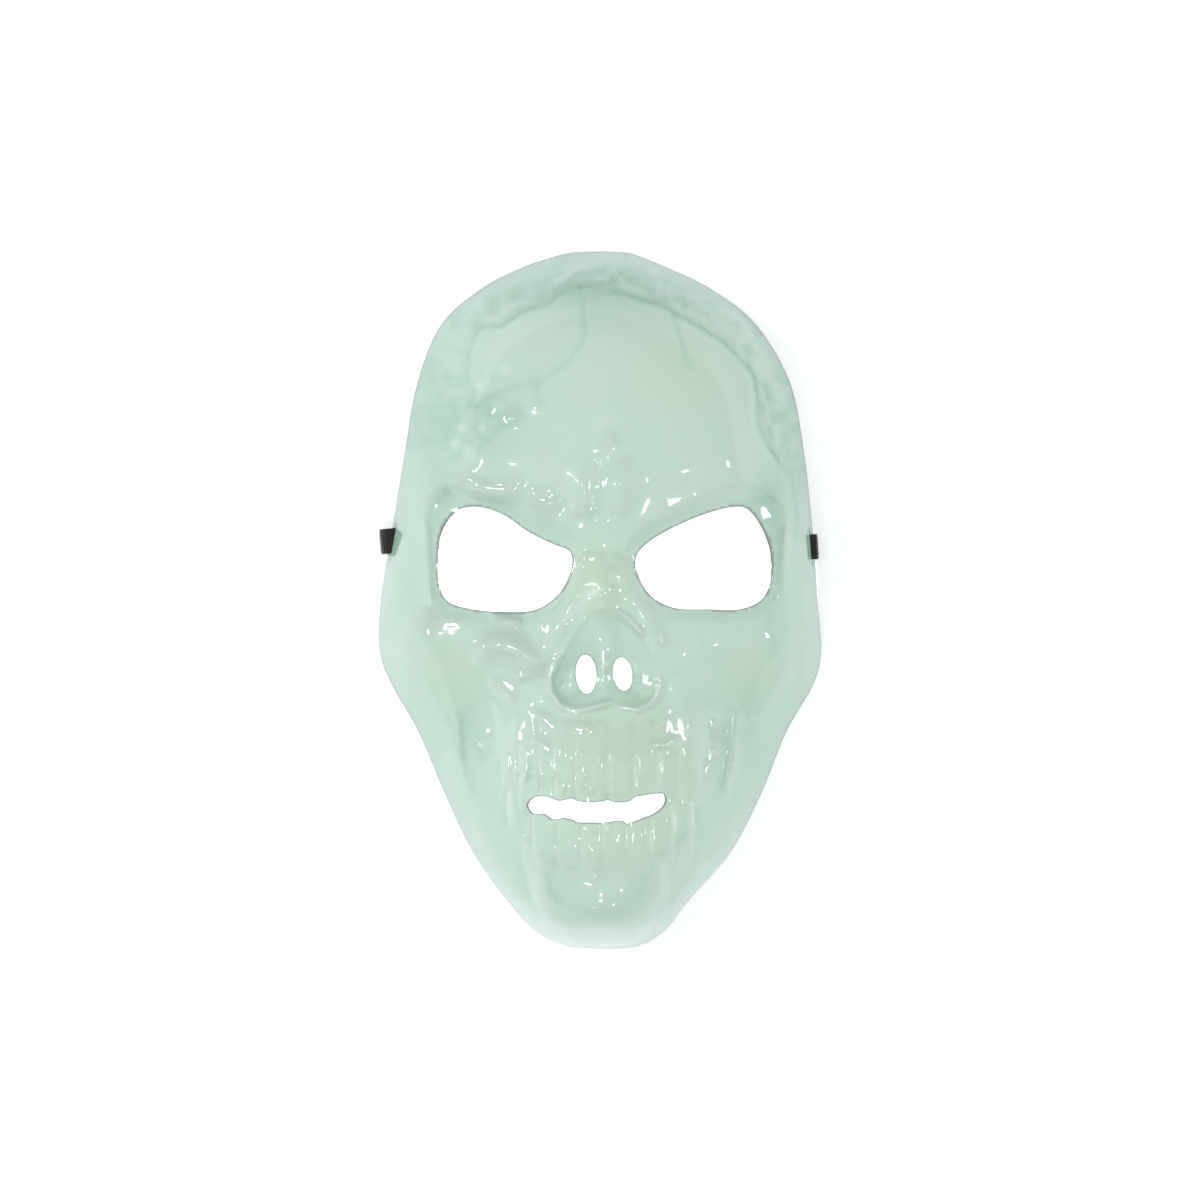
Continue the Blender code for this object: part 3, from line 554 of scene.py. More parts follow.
def add_node(
    tree: bpy.types.NodeTree,
    kind: str,
    settings: dict[str, object] | None = None,
    inputs: dict[str | int, object] | None = None,
) -> bpy.types.Node:
    """Adds a node with its settings and links.

    Args:
        tree: the node tree.
        kind: the node's type name.
        settings: values of the node's own properties.
        inputs: for each input socket, a value or the output socket that feeds it.

    Returns:
        The new node.
    """
    node = tree.nodes.new(kind)
    for name, value in (settings or {}).items():
        setattr(node, name, value)
    for name, value in (inputs or {}).items():
        if isinstance(value, bpy.types.NodeSocket):
            tree.links.new(value, node.inputs[name])
        else:
            node.inputs[name].default_value = value
    return node


def smooth(t: np.ndarray | float) -> np.ndarray:
    """Rises from 0 to 1 with level ends."""
    t = np.clip(t, 0.0, 1.0)
    return t * t * (3.0 - 2.0 * t)


def closed_curve(points: Sequence[Pair], per_span: int) -> np.ndarray:
    """Finds points along a smooth closed curve.

    Args:
        points: points that the curve passes through, in order.
        per_span: how many points to find from each one to the next.

    Returns:
        The curve's points, one row each.
    """
    p = np.array(points, float)
    before, after, beyond = np.roll(p, 1, 0), np.roll(p, -1, 0), np.roll(p, -2, 0)
    found = []
    for t in np.arange(per_span) / per_span:
        bend = (2 * before - 5 * p + 4 * after - beyond) * t**2
        bend += (3 * p - before - 3 * after + beyond) * t**3
        found.append(0.5 * (2 * p + (after - before) * t + bend))
    return np.stack(found, 1).reshape(-1, 2)


def spaced(curve: np.ndarray, step: float, marks: Sequence[np.ndarray] = ()) -> np.ndarray:
    """Spaces points evenly round a closed curve, with a point kept at each marked place.

    Args:
        curve: the curve's points.
        step: the wanted gap between points.
        marks: places on the curve that keep a point.

    Returns:
        The spaced points.
    """
    ring = np.vstack([curve, curve[:1]])
    along = np.concatenate([[0.0], np.cumsum(np.hypot(*np.diff(ring, axis=0).T))])
    total = along[-1]
    stops = sorted(along[np.argmin(np.hypot(*(curve - mark).T))] for mark in marks) or [0.0]
    places = []
    for start, end in zip(stops, stops[1:] + [stops[0] + total]):
        count = max(1, round((end - start) / step))
        places.extend(start + (end - start) * k / count for k in range(count))
    at = np.array(places) % total
    return np.stack([np.interp(at, along, ring[:, i]) for i in (0, 1)], 1)


def distance(points: np.ndarray, run: Sequence[Pair] | np.ndarray, closed: bool = False) -> np.ndarray:
    """Measures how far points lie from a run of straight pieces.

    Args:
        points: the points, one row each.
        run: the corners of the run.
        closed: whether the last corner joins the first.

    Returns:
        The distance of each point.
    """
    run = np.asarray(run, float)
    ends = np.roll(run, -1, 0) if closed else run[1:]
    nearest = np.full(len(points), np.inf)
    for a, b in zip(run, ends):
        ab = b - a
        x, y = points[:, 0] - a[0], points[:, 1] - a[1]
        t = np.clip((x * ab[0] + y * ab[1]) / (ab @ ab), 0, 1)
        nearest = np.minimum(nearest, (x - t * ab[0]) ** 2 + (y - t * ab[1]) ** 2)
    return np.sqrt(nearest)


def near(points: np.ndarray, run: Sequence[Pair], reach: float) -> np.ndarray:
    """Measures the distance from a run only for points close to it.

    Args:
        points: the points, one row each.
        run: the corners of the run.
        reach: how far from the run's box to look.

    Returns:
        The distance of each point, infinite outside the box.
    """
    low, high = np.min(run, 0) - reach, np.max(run, 0) + reach
    close = np.all((points > low) & (points < high), axis=1)
    found = np.full(len(points), np.inf)
    found[close] = distance(points[close], run)
    return found


def inside(points: np.ndarray, outline: Sequence[Pair] | np.ndarray) -> np.ndarray:
    """Says which points lie inside a closed outline.

    Args:
        points: the points, one row each.
        outline: the outline's corners.

    Returns:
        True for each point inside.
    """
    outline = np.asarray(outline, float)
    x, y = points[:, 0], points[:, 1]
    crossed = np.zeros(len(points), bool)
    for (ax, ay), (bx, by) in zip(outline, np.roll(outline, -1, 0)):
        if ay != by:
            spans = (ay > y) != (by > y)
            crossed ^= spans & (x < (bx - ax) * (y - ay) / (by - ay) + ax)
    return crossed


def swell(
    points: np.ndarray, x: float, y: float, half_width: float, half_height: float, turn: float, rise: float
) -> np.ndarray:
    """Shapes a rounded swell with its axes turned.

    Args:
        points: the points, one row each.
        x: where its middle lies across the face.
        y: where its middle lies up the face.
        half_width: its half width.
        half_height: its half height.
        turn: how far its axes turn, in degrees.
        rise: its height, or its depth if negative.

    Returns:
        The rise at each point.
    """
    a = math.radians(turn)
    dx, dy = points[:, 0] - x, points[:, 1] - y
    u = (dx * math.cos(a) + dy * math.sin(a)) / half_width
    v = (dy * math.cos(a) - dx * math.sin(a)) / half_height
    return rise * np.exp(-(u * u + v * v))


def lumps(points: np.ndarray, size: float) -> np.ndarray:
    """Makes smooth uneven lumps, the same on every run.

    Args:
        points: the points, one row each.
        size: the lumps' width.

    Returns:
        Heights between -1 and 1.
    """
    total = np.zeros(len(points))
    for octave, (scale, weight) in enumerate(((1.0, 0.62), (0.53, 0.38))):
        p = points / (size * scale) + 17.3 * octave
        cell = np.floor(p)
        t = smooth(p - cell)

        def corner(i: int, j: int) -> np.ndarray:
            """Gives the fixed value of a cell's corner."""
            angle = (cell[:, 0] + i) * NOISE_TURNS[0] + (cell[:, 1] + j) * NOISE_TURNS[1]
            return np.modf(np.abs(np.sin(angle) * NOISE_REACH))[0]

        low = corner(0, 0) * (1 - t[:, 0]) + corner(1, 0) * t[:, 0]
        high = corner(0, 1) * (1 - t[:, 0]) + corner(1, 1) * t[:, 0]
        total += weight * (2 * (low * (1 - t[:, 1]) + high * t[:, 1]) - 1)
    return total


def new_mesh(
    name: str, points: np.ndarray, faces: np.ndarray, finish: bpy.types.Material
) -> bpy.types.Object:
    """Adds a smooth-shaded mesh object.

    Args:
        name: the object's name.
        points: corners in millimetres.
        faces: corner numbers of triangles or of quads, one row each.
        finish: its material.

    Returns:
        The new object, linked to the scene.
    """
    mesh = bpy.data.meshes.new(name)
    sides = faces.shape[1]
    mesh.vertices.add(len(points))
    mesh.vertices.foreach_set("co", (points * MM).ravel())
    mesh.loops.add(faces.size)
    mesh.loops.foreach_set("vertex_index", faces.ravel())
    mesh.polygons.add(len(faces))
    mesh.polygons.foreach_set("loop_start", np.arange(len(faces)) * sides)
    mesh.polygons.foreach_set("loop_total", np.full(len(faces), sides))
    mesh.update(calc_edges=True)
    mesh.validate()
    mesh.shade_smooth()
    mesh.set_sharp_from_angle(angle=math.radians(48))
    mesh.materials.append(finish)
    made = bpy.data.objects.new(name, mesh)
    bpy.context.scene.collection.objects.link(made)
    return made


@dataclass(frozen=True)
class VacuumFormedSheet:
    """Pigmented PET sheet, 0.8 mm thick, vacuum-formed over a mould: glossy, a little milky and green.

    The pigment glows faintly through the thin sheet. It looks paler in patches, warmer in others and darker
    along the cut edges, with painted shade in its hollows, grooves and cracks and on the side walls near the
    rim.
    """

    name: str = "glossy_plastic"
    base: str = "#BDD2C6"
    shade_colour: str = "#98BBAB"
    # Colour of the painted shade
    warm: str = "#BDD0B4"
    pale: str = "#C4D6CB"
    cut: str = "#868589"
    ior: float = 1.57
    roughness: float = 0.075
    patch_mm: float = 38.0
    ripple_mm: float = 5.0

    def make(self) -> bpy.types.Material:
        """Builds the node material."""
        made = bpy.data.materials.new(self.name)
        made.use_nodes = True
        tree = made.node_tree
        tree.nodes.clear()
        place = add_node(tree, "ShaderNodeTexCoord").outputs["Object"]
        hollow = add_node(tree, "ShaderNodeAttribute", {"attribute_name": "hollow"}).outputs["Fac"]
        tint = add_node(tree, "ShaderNodeAttribute", {"attribute_name": "tint"}).outputs["Fac"]
        edge = add_node(tree, "ShaderNodeAttribute", {"attribute_name": "edge"}).outputs["Fac"]
        patches = add_node(
            tree,
            "ShaderNodeTexNoise",
            {"noise_dimensions": "3D"},
            {"Vector": place, "Scale": 1000 / self.patch_mm, "Detail": 3.0, "Roughness": 0.55},
        ).outputs["Fac"]
        spread = add_node(
            tree,
            "ShaderNodeMapRange",
            {"clamp": True},
            {"Value": patches, "From Min": 0.35, "From Max": 0.7, "To Min": 0.0, "To Max": 0.45},
        ).outputs["Result"]
        colour = self.mix(tree, spread, linear(self.base), linear(self.pale))
        colour = self.mix(tree, tint, colour, linear(self.warm))
        # Painted shade: mixes in the shade colour where the hollow attribute holds shade in hollows, grooves,
        # cracks and near the rim
        colour = self.mix(tree, hollow, colour, linear(self.shade_colour))
        colour = self.mix(tree, edge, colour, linear(self.cut))
        ripple = add_node(
            tree,
            "ShaderNodeTexNoise",
            {"noise_dimensions": "3D"},
            {"Vector": place, "Scale": 1000 / self.ripple_mm, "Detail": 2.0, "Roughness": 0.5},
        ).outputs["Fac"]
        gloss = add_node(
            tree,
            "ShaderNodeMapRange",
            {"clamp": True},
            {
                "Value": patches,
                "From Min": 0.3,
                "From Max": 0.75,
                "To Min": self.roughness - 0.015,
                "To Max": self.roughness + 0.03,
            },
        ).outputs["Result"]
        relief = add_node(
            tree,
            "ShaderNodeBump",
            {},
            {"Height": ripple, "Strength": 0.12, "Distance": 0.0004},
        ).outputs["Normal"]
        shader = add_node(
            tree,
            "ShaderNodeBsdfPrincipled",
            {},
            {
                "Base Color": colour,
                "Roughness": gloss,
                "IOR": self.ior,
                "Normal": relief,
                "Subsurface Weight": 0.7,
                "Subsurface Radius": (1.0, 1.0, 1.0),
                "Subsurface Scale": 0.002,
            },
        )
        add_node(tree, "ShaderNodeOutputMaterial", {}, {"Surface": shader.outputs["BSDF"]})
        return made

    @staticmethod
    def mix(tree: bpy.types.NodeTree, share: object, one: object, other: object) -> bpy.types.NodeSocket:
        """Blends two colours.

        Args:
            tree: the node tree.
            share: how much of the other colour shows.
            one: the first colour.
            other: the colour blended in.

        Returns:
            The blended colour's socket.
        """
        made = add_node(tree, "ShaderNodeMix", {"data_type": "RGBA"}, {0: share, 6: one, 7: other})
        return made.outputs[2]


@dataclass(frozen=True)
class WovenElastic:
    """Black polyester elastic, woven with covered rubber cords, so it is matt and ribbed lengthwise.

    Weft threads cross it every 0.7 mm. They would be too fine to show, so they are drawn at 1.1 mm.
    """

    name: str = "black_elastic"
    thread: str = "#1B1C1E"
    gap: str = "#060607"
    roughness: float = 0.82
    weft_mm: float = 1.1

    def make(self) -> bpy.types.Material:
        """Builds the node material."""
        made = bpy.data.materials.new(self.name)
        made.use_nodes = True
        tree = made.node_tree
        tree.nodes.clear()
        strip = add_node(tree, "ShaderNodeAttribute", {"attribute_name": "strip"}).outputs["Vector"]
        weft = add_node(
            tree,
            "ShaderNodeTexWave",
            {"wave_type": "BANDS", "bands_direction": "X", "wave_profile": "SIN"},
            {
                "Vector": strip,
                "Scale": 0.314 / self.weft_mm,
                "Distortion": 0.6,
                "Detail": 1.0,
                "Detail Scale": 2.0,
            },
        ).outputs["Fac"]
        fluff = add_node(
            tree,
            "ShaderNodeTexNoise",
            {"noise_dimensions": "3D"},
            {"Vector": strip, "Scale": 1.6, "Detail": 3.0, "Roughness": 0.6},
        ).outputs["Fac"]
        colour = VacuumFormedSheet.mix(tree, weft, linear(self.gap), linear(self.thread))
        worn = add_node(
            tree,
            "ShaderNodeMapRange",
            {"clamp": True},
            {"Value": fluff, "From Min": 0.3, "From Max": 0.8, "To Min": 0.72, "To Max": 0.95},
        ).outputs["Result"]
        relief = add_node(
            tree,
            "ShaderNodeBump",
            {},
            {"Height": weft, "Strength": 0.6, "Distance": 0.00025},
        ).outputs["Normal"]
        shader = add_node(
            tree,
            "ShaderNodeBsdfPrincipled",
            {},
            {
                "Base Color": colour,
                "Roughness": worn,
                "Normal": relief,
                "Sheen Weight": 0.25,
                "Sheen Roughness": 0.5,
            },
        )
        add_node(tree, "ShaderNodeOutputMaterial", {}, {"Surface": shader.outputs["BSDF"]})
        return made


@dataclass(frozen=True)
class StudioSweep:
    """Matt white acrylic table top, lit a little from below, so it stays white under the mask's holes."""

    name: str = "studio_table"
    colour: str = "#F6F7F7"
    glow: float = 0.3

    def make(self) -> bpy.types.Material:
        """Builds the node material."""
        made = bpy.data.materials.new(self.name)
        made.use_nodes = True
        shader = made.node_tree.nodes["Principled BSDF"]
        shader.inputs["Base Color"].default_value = linear(self.colour)
        shader.inputs["Roughness"].default_value = 0.9
        shader.inputs["Specular IOR Level"].default_value = 0.1
        shader.inputs["Emission Color"].default_value = linear(self.colour)
        shader.inputs["Emission Strength"].default_value = self.glow
        return made


@dataclass
class FaceForm:
    """The outlines of the mask and the height of its outer surface over the front view."""

    rim_lift: float = 3.0
    rim_lift_y: float = 21.0
    rim_lift_reach: float = 40.0
    orbit_depth: float = 6.0
    orbit_full_gap: float = 11.0
    nose_depth: float = 5.2
    slit_half_length: float = 6.8
    cap_step: float = 0.4
    glint_spread: float = 1.25
    glint_least: float = 0.12
    glint_slope: float = 1.0
    faint_lamp_cost: float = 1.6
    glint_rise: float = 0.65
    wide_glint_share: float = 0.42
    missed_glint_share: float = 0.5
    close_lamp_cost: float = 0.5
    glint_gap: float = 0.75
    glint_rounds: int = 40
    glint_pace: float = 0.5
    relief_start: float = 14.0
    details_from: float = 1.0
    details_over: float = 7.0
    details_most: float = 2.6
    soft_from: float = 5.0
    soft_over: float = 9.0
    nose_wall: float = 8.5
    nose_bead: float = 0.65
    nose_bead_half_width: float = 1.4
    septum_x: float = 1.4
    septum_share: float = 0.6
    septum_half_width: float = 3.6
    septum_flare: float = 5.0
    septum_flare_span: Pair = (-28.0, 24.0)
    nose_shallow_share: float = 0.3
    nose_deep_span: Pair = (-6.0, 22.0)
    crack_lip_share: float = 0.3
    crack_lip_place: float = 2.4
    crack_lip_width: float = 1.2
    region_fade: float = 5.0
    cap_fade: float = 2.0
    root_lean: float = 0.03
    root_foot_y: float = -57.0
    rim_spans: int = 16
    eye_spans: int = 14
    mouth_spans: int = 4
    orbit_spans: int = 4
    nose_spans: int = 7
    nostril_points: int = 60
    bumps: list[tuple[float, float, float, float]] = field(default_factory=list)
    rim: np.ndarray = field(init=False)
    holes: list[np.ndarray] = field(init=False)
    orbits: list[np.ndarray] = field(init=False)
    nose: np.ndarray = field(init=False)

    def __post_init__(self) -> None:
        """Draws the outlines."""
        rows = np.array(RIM_ROWS)
        self.rim = closed_curve(np.vstack([rows[:, [2, 0]], rows[::-1][:, [1, 0]]]), self.rim_spans)
        self.holes = [closed_curve(eye, self.eye_spans) for eye in (LEFT_EYE, RIGHT_EYE)]
        self.holes.append(closed_curve(MOUTH, self.mouth_spans))
        turns = np.linspace(0, 2 * math.pi, self.nostril_points, endpoint=False)
        for x, y, half_width, half_height, lean in NOSTRILS:
            u, v = half_width * np.cos(turns), half_height * np.sin(turns)
            a = math.radians(lean)
            across = x + u * math.cos(a) - v * math.sin(a)
            up = y + u * math.sin(a) + v * math.cos(a)
            self.holes.append(np.stack([across, up], 1))
        self.orbits = [closed_curve(limit, self.orbit_spans) for limit in (LEFT_ORBIT, RIGHT_ORBIT)]
        self.nose = closed_curve(NOSE_OPENING, self.nose_spans)
        self.bumps = self.shape_glints()

    def glint_places(self) -> tuple[np.ndarray, np.ndarray]:
        """Spaces the highlight readings out into single places.

        Returns:
            The places, one row each, and the half width of the bump at each.
        """
        places, halves = [], []
        for half_width, readings in GLINTS:
            run = [from_photo(reading) for reading in readings]
            for a, b in zip(run, run[1:]):
                count = max(1, round(math.dist(a, b) / (self.glint_gap * half_width)))
                for k in range(count):
                    places.append((a[0] + (b[0] - a[0]) * k / count, a[1] + (b[1] - a[1]) * k / count))
                halves += [half_width] * count
            places.append(run[-1])
            halves.append(half_width)
        return np.array(places), self.glint_spread * np.array(halves)

    def lamp_slopes(self, at: np.ndarray, slope: np.ndarray) -> np.ndarray:
        """Finds the slope that mirrors the most easily reached lamp into the front view.

        Args:
            at: the places, one row each.
            slope: the surface's own slope at each.

        Returns:
            The wanted slope at each place.
        """
        wanted, best = np.zeros_like(at), np.full(len(at), np.inf)
        spot = np.column_stack([at, self.height(at, True)]) * MM
        for name, lamp, *_ in LAMPS:
            to_lamp, to_camera = np.array(lamp) - spot, np.array(CAMERA_PLACE) - spot
            to_lamp /= np.linalg.norm(to_lamp, axis=1)[:, None]
            to_camera /= np.linalg.norm(to_camera, axis=1)[:, None]
            between = to_lamp + to_camera
            mirror = -between[:, :2] / between[:, 2:]
            turn = np.hypot(*(mirror - slope).T)
            turn = np.where(turn < self.glint_least, self.close_lamp_cost, turn)
            turn *= 1.0 if name in BRIGHT_LAMPS else self.faint_lamp_cost
            better = turn < best
            wanted[better], best[better] = mirror[better], turn[better]
        return wanted

    def shape_glints(self) -> list[tuple[float, float, float, float]]:
        """Sizes the highlight bumps, so that each has a flank that mirrors a lamp into the front view.

        Returns:
            The x, y, half width and rise of each bump.
        """
        at, half = self.glint_places()
        slope = self.slope(at)
        wanted = self.lamp_slopes(at, slope)
        centre, rise = at.copy(), np.zeros(len(at))
        for _ in range(self.glint_rounds):
            dx = at[:, None, :] - centre[None, :, :]
            bump = rise * np.exp(-(dx**2).sum(2) / half**2)
            pull = -2 * dx * (bump / half**2)[:, :, None]
            others = pull.sum(1) - pull[np.arange(len(at)), np.arange(len(at))]
            need = wanted - slope - others
            size = np.hypot(*need.T) + 1e-9
            aim = at + need / size[:, None] * (half / math.sqrt(2))[:, None]
            centre += self.glint_pace * (aim - centre)
            tall = np.minimum(size, self.glint_slope) * half / STEEPEST_FLANK
            tall = np.minimum(tall, np.maximum(self.glint_rise, self.wide_glint_share * half))
            tall = np.where(size > self.glint_slope, self.missed_glint_share * tall, tall)
            rise += self.glint_pace * (tall - rise)
        return [(float(x), float(y), float(h), float(r)) for (x, y), h, r in zip(centre, half, rise)]

    def slope(self, points: np.ndarray) -> np.ndarray:
        """Measures how steeply the outer surface rises.

        Args:
            points: the points, one row each.

        Returns:
            The slope across and up the face at each point.
        """
        step = 0.1
        across, up = np.array([step, 0.0]), np.array([0.0, step])
        x = self.height(points + across, True) - self.height(points - across, True)
        y = self.height(points + up, True) - self.height(points - up, True)
        return np.column_stack([x, y]) / (2 * step)

    @staticmethod
    def section(y: np.ndarray, column: int) -> np.ndarray:
        """Reads a column of SECTIONS smoothly.

        Args:
            y: where to read it.
            column: which column.

        Returns:
            Its value at each y.
        """
        rows = np.array(SECTIONS)[::-1]
        keys, values = rows[:, 0], rows[:, column]
        slopes = np.gradient(values, keys)
        i = np.clip(np.searchsorted(keys, y) - 1, 0, len(keys) - 2)
        span = keys[i + 1] - keys[i]
        t = (y - keys[i]) / span
        start = values[i] * (1 + 2 * t) * (1 - t) ** 2 + slopes[i] * span * t * (1 - t) ** 2
        end = values[i + 1] * t * t * (3 - 2 * t) + slopes[i + 1] * span * t * t * (t - 1)
        return start + end

    def crown(self, points: np.ndarray) -> np.ndarray:
        """Gives the height of the face before the side wall rounds it off."""
        x, y = points[:, 0], points[:, 1]
        return self.section(y, 1) - self.section(y, 2) * (x / DROP_REACH) ** 2

    def wall_distance(self, points: np.ndarray) -> np.ndarray:
        """Measures the distance from the rim, rounded off where two stretches of it are equally near.

        Args:
            points: the points, one row each.

        Returns:
            The softened distance of each point.
        """
        exact = distance(points, self.rim, True)
        lengths = np.hypot(*(np.roll(self.rim, -1, 0) - self.rim).T)
        middles = (np.roll(self.rim, -1, 0) + self.rim) / 2
        pull = np.zeros(len(points))
        for middle, length in zip(middles, lengths):
            gap = (points[:, 0] - middle[0]) ** 2 + (points[:, 1] - middle[1]) ** 2 + 1e-6
            pull += length / (gap * gap * np.sqrt(gap))
        soft = (pull / STRAIGHT_PULL) ** -0.25
        share = smooth((exact - self.soft_from) / self.soft_over)
        return exact * (1 - share) + soft * share

    def orbit(self, points: np.ndarray, hole: np.ndarray, limit: np.ndarray) -> np.ndarray:
        """Shapes the hollow that falls from its limit to the edge of an eye hole.

        Args:
            points: the points, one row each.
            hole: the eye hole's outline.
            limit: the hollow's outer limit.

        Returns:
            The rise at each point.
        """
        to_hole = np.where(inside(points, hole), 0.0, distance(points, hole, True))
        gap = to_hole + distance(points, limit, True) + 1e-9
        depth = self.orbit_depth * np.minimum(gap / self.orbit_full_gap, 1)
        return np.where(inside(points, limit), -depth * (1 - smooth(to_hole / gap)), 0.0)

    def nose_hollow(self, points: np.ndarray) -> np.ndarray:
        """Shapes the hollow of the nose, with a septum down its middle and a fine bead round it.

        Args:
            points: the points, one row each.

        Returns:
            The rise at each point.
        """
        edge = distance(points, self.nose, True)
        flare_foot, flare_over = self.septum_flare_span
        spread = self.septum_half_width + self.septum_flare * smooth((points[:, 1] - flare_foot) / flare_over)
        septum = np.exp(-(((points[:, 0] - self.septum_x) / spread) ** 2))
        deep_top, deep_over = self.nose_deep_span
        deeper = smooth((deep_top - points[:, 1]) / deep_over)
        depth = self.nose_depth * (self.nose_shallow_share + (1 - self.nose_shallow_share) * deeper)
        hollow = -depth * smooth(edge / self.nose_wall) * (1 - self.septum_share * septum)
        bead = self.nose_bead * np.exp(-((edge / self.nose_bead_half_width) ** 2))
        return np.where(inside(points, self.nose), hollow, 0.0) + bead

    @staticmethod
    def teeth(points: np.ndarray, rows: Sequence[tuple[float, ...]]) -> np.ndarray:
        """Shapes a row of barrel-shaped teeth that fade into the gum.

        Args:
            points: the points, one row each.
            rows: the table of teeth.

        Returns:
            The rise at each point.
        """
        x, y = points[:, 0], points[:, 1]
        height = np.zeros(len(points))
        for left, right, bite, gum, rise in rows:
            across = np.clip(np.abs(x - (left + right) / 2) / ((right - left) / 2), 0, 1)
            along = (y - (bite + gum) / 2) / ((gum - bite) / 2)
            up = smooth(TOOTH_FADE_UP[0] + TOOTH_FADE_UP[1] * along)
            down = smooth(TOOTH_FADE_DOWN[0] + TOOTH_FADE_DOWN[1] * along)
            fade = np.where(along > 0, up, down)
            height = np.maximum(height, rise * (1 - across**4) * fade)
        return height

    def bones(self, points: np.ndarray) -> np.ndarray:
        """Adds up the main relief, which the CAD shell has too."""
        relief = self.nose_hollow(points) + self.teeth(points, UPPER_TEETH) + self.teeth(points, LOWER_TEETH)
        for row in BONE_SWELLS:
            relief += swell(points, *row)
        for rise, half_width, run in BONE_FOLDS:
            relief += rise * np.exp(-((near(points, run, 9.0) / half_width) ** 2))
        for hole, limit in zip(self.holes, self.orbits):
            relief += self.orbit(points, hole, limit)
        return relief

    def details(self, points: np.ndarray) -> np.ndarray:
        """Adds up the fine relief: cracks, lumps, folds, dimples and roots.

        Args:
            points: the points, one row each.

        Returns:
            The rise at each point.
        """
        relief = np.zeros(len(points))
        for depth, half_width, run in CRACKS:
            gap = near(points, closed_run(run), 6.0)
            relief -= depth * np.exp(-((gap / half_width) ** 2))
            beside = (gap - self.crack_lip_place * half_width) / (self.crack_lip_width * half_width)
            relief += self.crack_lip_share * depth * np.exp(-(beside**2))
        for region in Region:
            within = np.where(inside(points, region.outline), distance(points, region.outline, True), 0.0)
            relief += region.rise * smooth(within / self.region_fade) * lumps(points, region.size)
            if region is Region.CAP:
                relief += self.cap_step * smooth(within / self.cap_fade)
        for rise, half_width, run in FINE_FOLDS:
            relief += rise * np.exp(-((near(points, closed_run(run), 6.0) / half_width) ** 2))
        for row in BEADS:
            relief += swell(points, *row)
        for x, top, half_width, rise in UPPER_ROOTS:
            run = ((x, top - half_width), (x + self.root_lean * x, self.root_foot_y))
            relief += rise * np.exp(-((near(points, run, 7.0) / half_width) ** 2))
        return relief

    def height(self, points: np.ndarray, fine: bool) -> np.ndarray:
        """Gives the height of the outer surface.

        Args:
            points: the points, one row each.
            fine: whether to add the fine relief.

        Returns:
            The height of each point.
        """
        y = points[:, 1]
        from_rim = self.wall_distance(points)
        wall_width = self.section(y, 3)
        left = 1 - np.clip(from_rim / wall_width, 0, 1)
        wall = 1 - left**3
        lift = self.rim_lift * smooth(1 - np.abs(y - self.rim_lift_y) / self.rim_lift_reach)
        level = self.crown(points) * wall + lift * (1 - wall)
        level += self.bones(points) * smooth(from_rim / self.relief_start)
        if fine:
            slope = self.crown(points) * 3 * left**2 / wall_width
            slope += np.abs(points[:, 0]) * self.section(y, 2) * 2 / DROP_REACH**2
            stretch = np.clip(np.hypot(1, slope), 1, self.details_most)
            fade = smooth((from_rim - self.details_from) / self.details_over)
            level += self.details(points) * stretch * fade
            for x, y, half, rise in self.bumps:
                close = np.all(np.abs(points - (x, y)) < 3 * half, axis=1)
                level[close] += swell(points[close], x, y, half, half, 0.0, rise)
        return level

    def inset(self, points: np.ndarray, inward: np.ndarray, rise: float) -> np.ndarray:
        """Moves rim points inward to where the side wall has risen by a given height.

        Args:
            points: rim points.
            inward: unit vectors into the face.
            rise: the height above the rim.

        Returns:
            The moved points.
        """
        share = 1 - (1 - rise / self.crown(points)) ** (1 / 3)
        return points + inward * (share * self.section(points[:, 1], 3))[:, None]

    def slit_ends(self) -> list[np.ndarray]:
        """Finds the two ends of each strap slit, on the rim."""
        found = []
        for on_right, centre_y, *_ in STRAP_ENDS:
            side = self.rim[(self.rim[:, 0] > 0) == on_right]
            for end in (-self.slit_half_length, self.slit_half_length):
                found.append(side[np.argmin(np.abs(side[:, 1] - centre_y - end))])
        return found


def closed_run(run: Sequence[Pair]) -> np.ndarray:
    """Rounds the corners of an open run with a point between each two."""
    p = np.array(run, float)
    if len(p) < 3:
        return p
    before = np.vstack([2 * p[0] - p[1], p[:-1]])
    after = np.vstack([p[1:], 2 * p[-1] - p[-2]])
    beyond = np.vstack([after[1:], after[-1:]])
    middle = (9 * (p + after) - before - beyond) / 16
    return np.stack([p, middle], 1).reshape(-1, 2)[:-1]


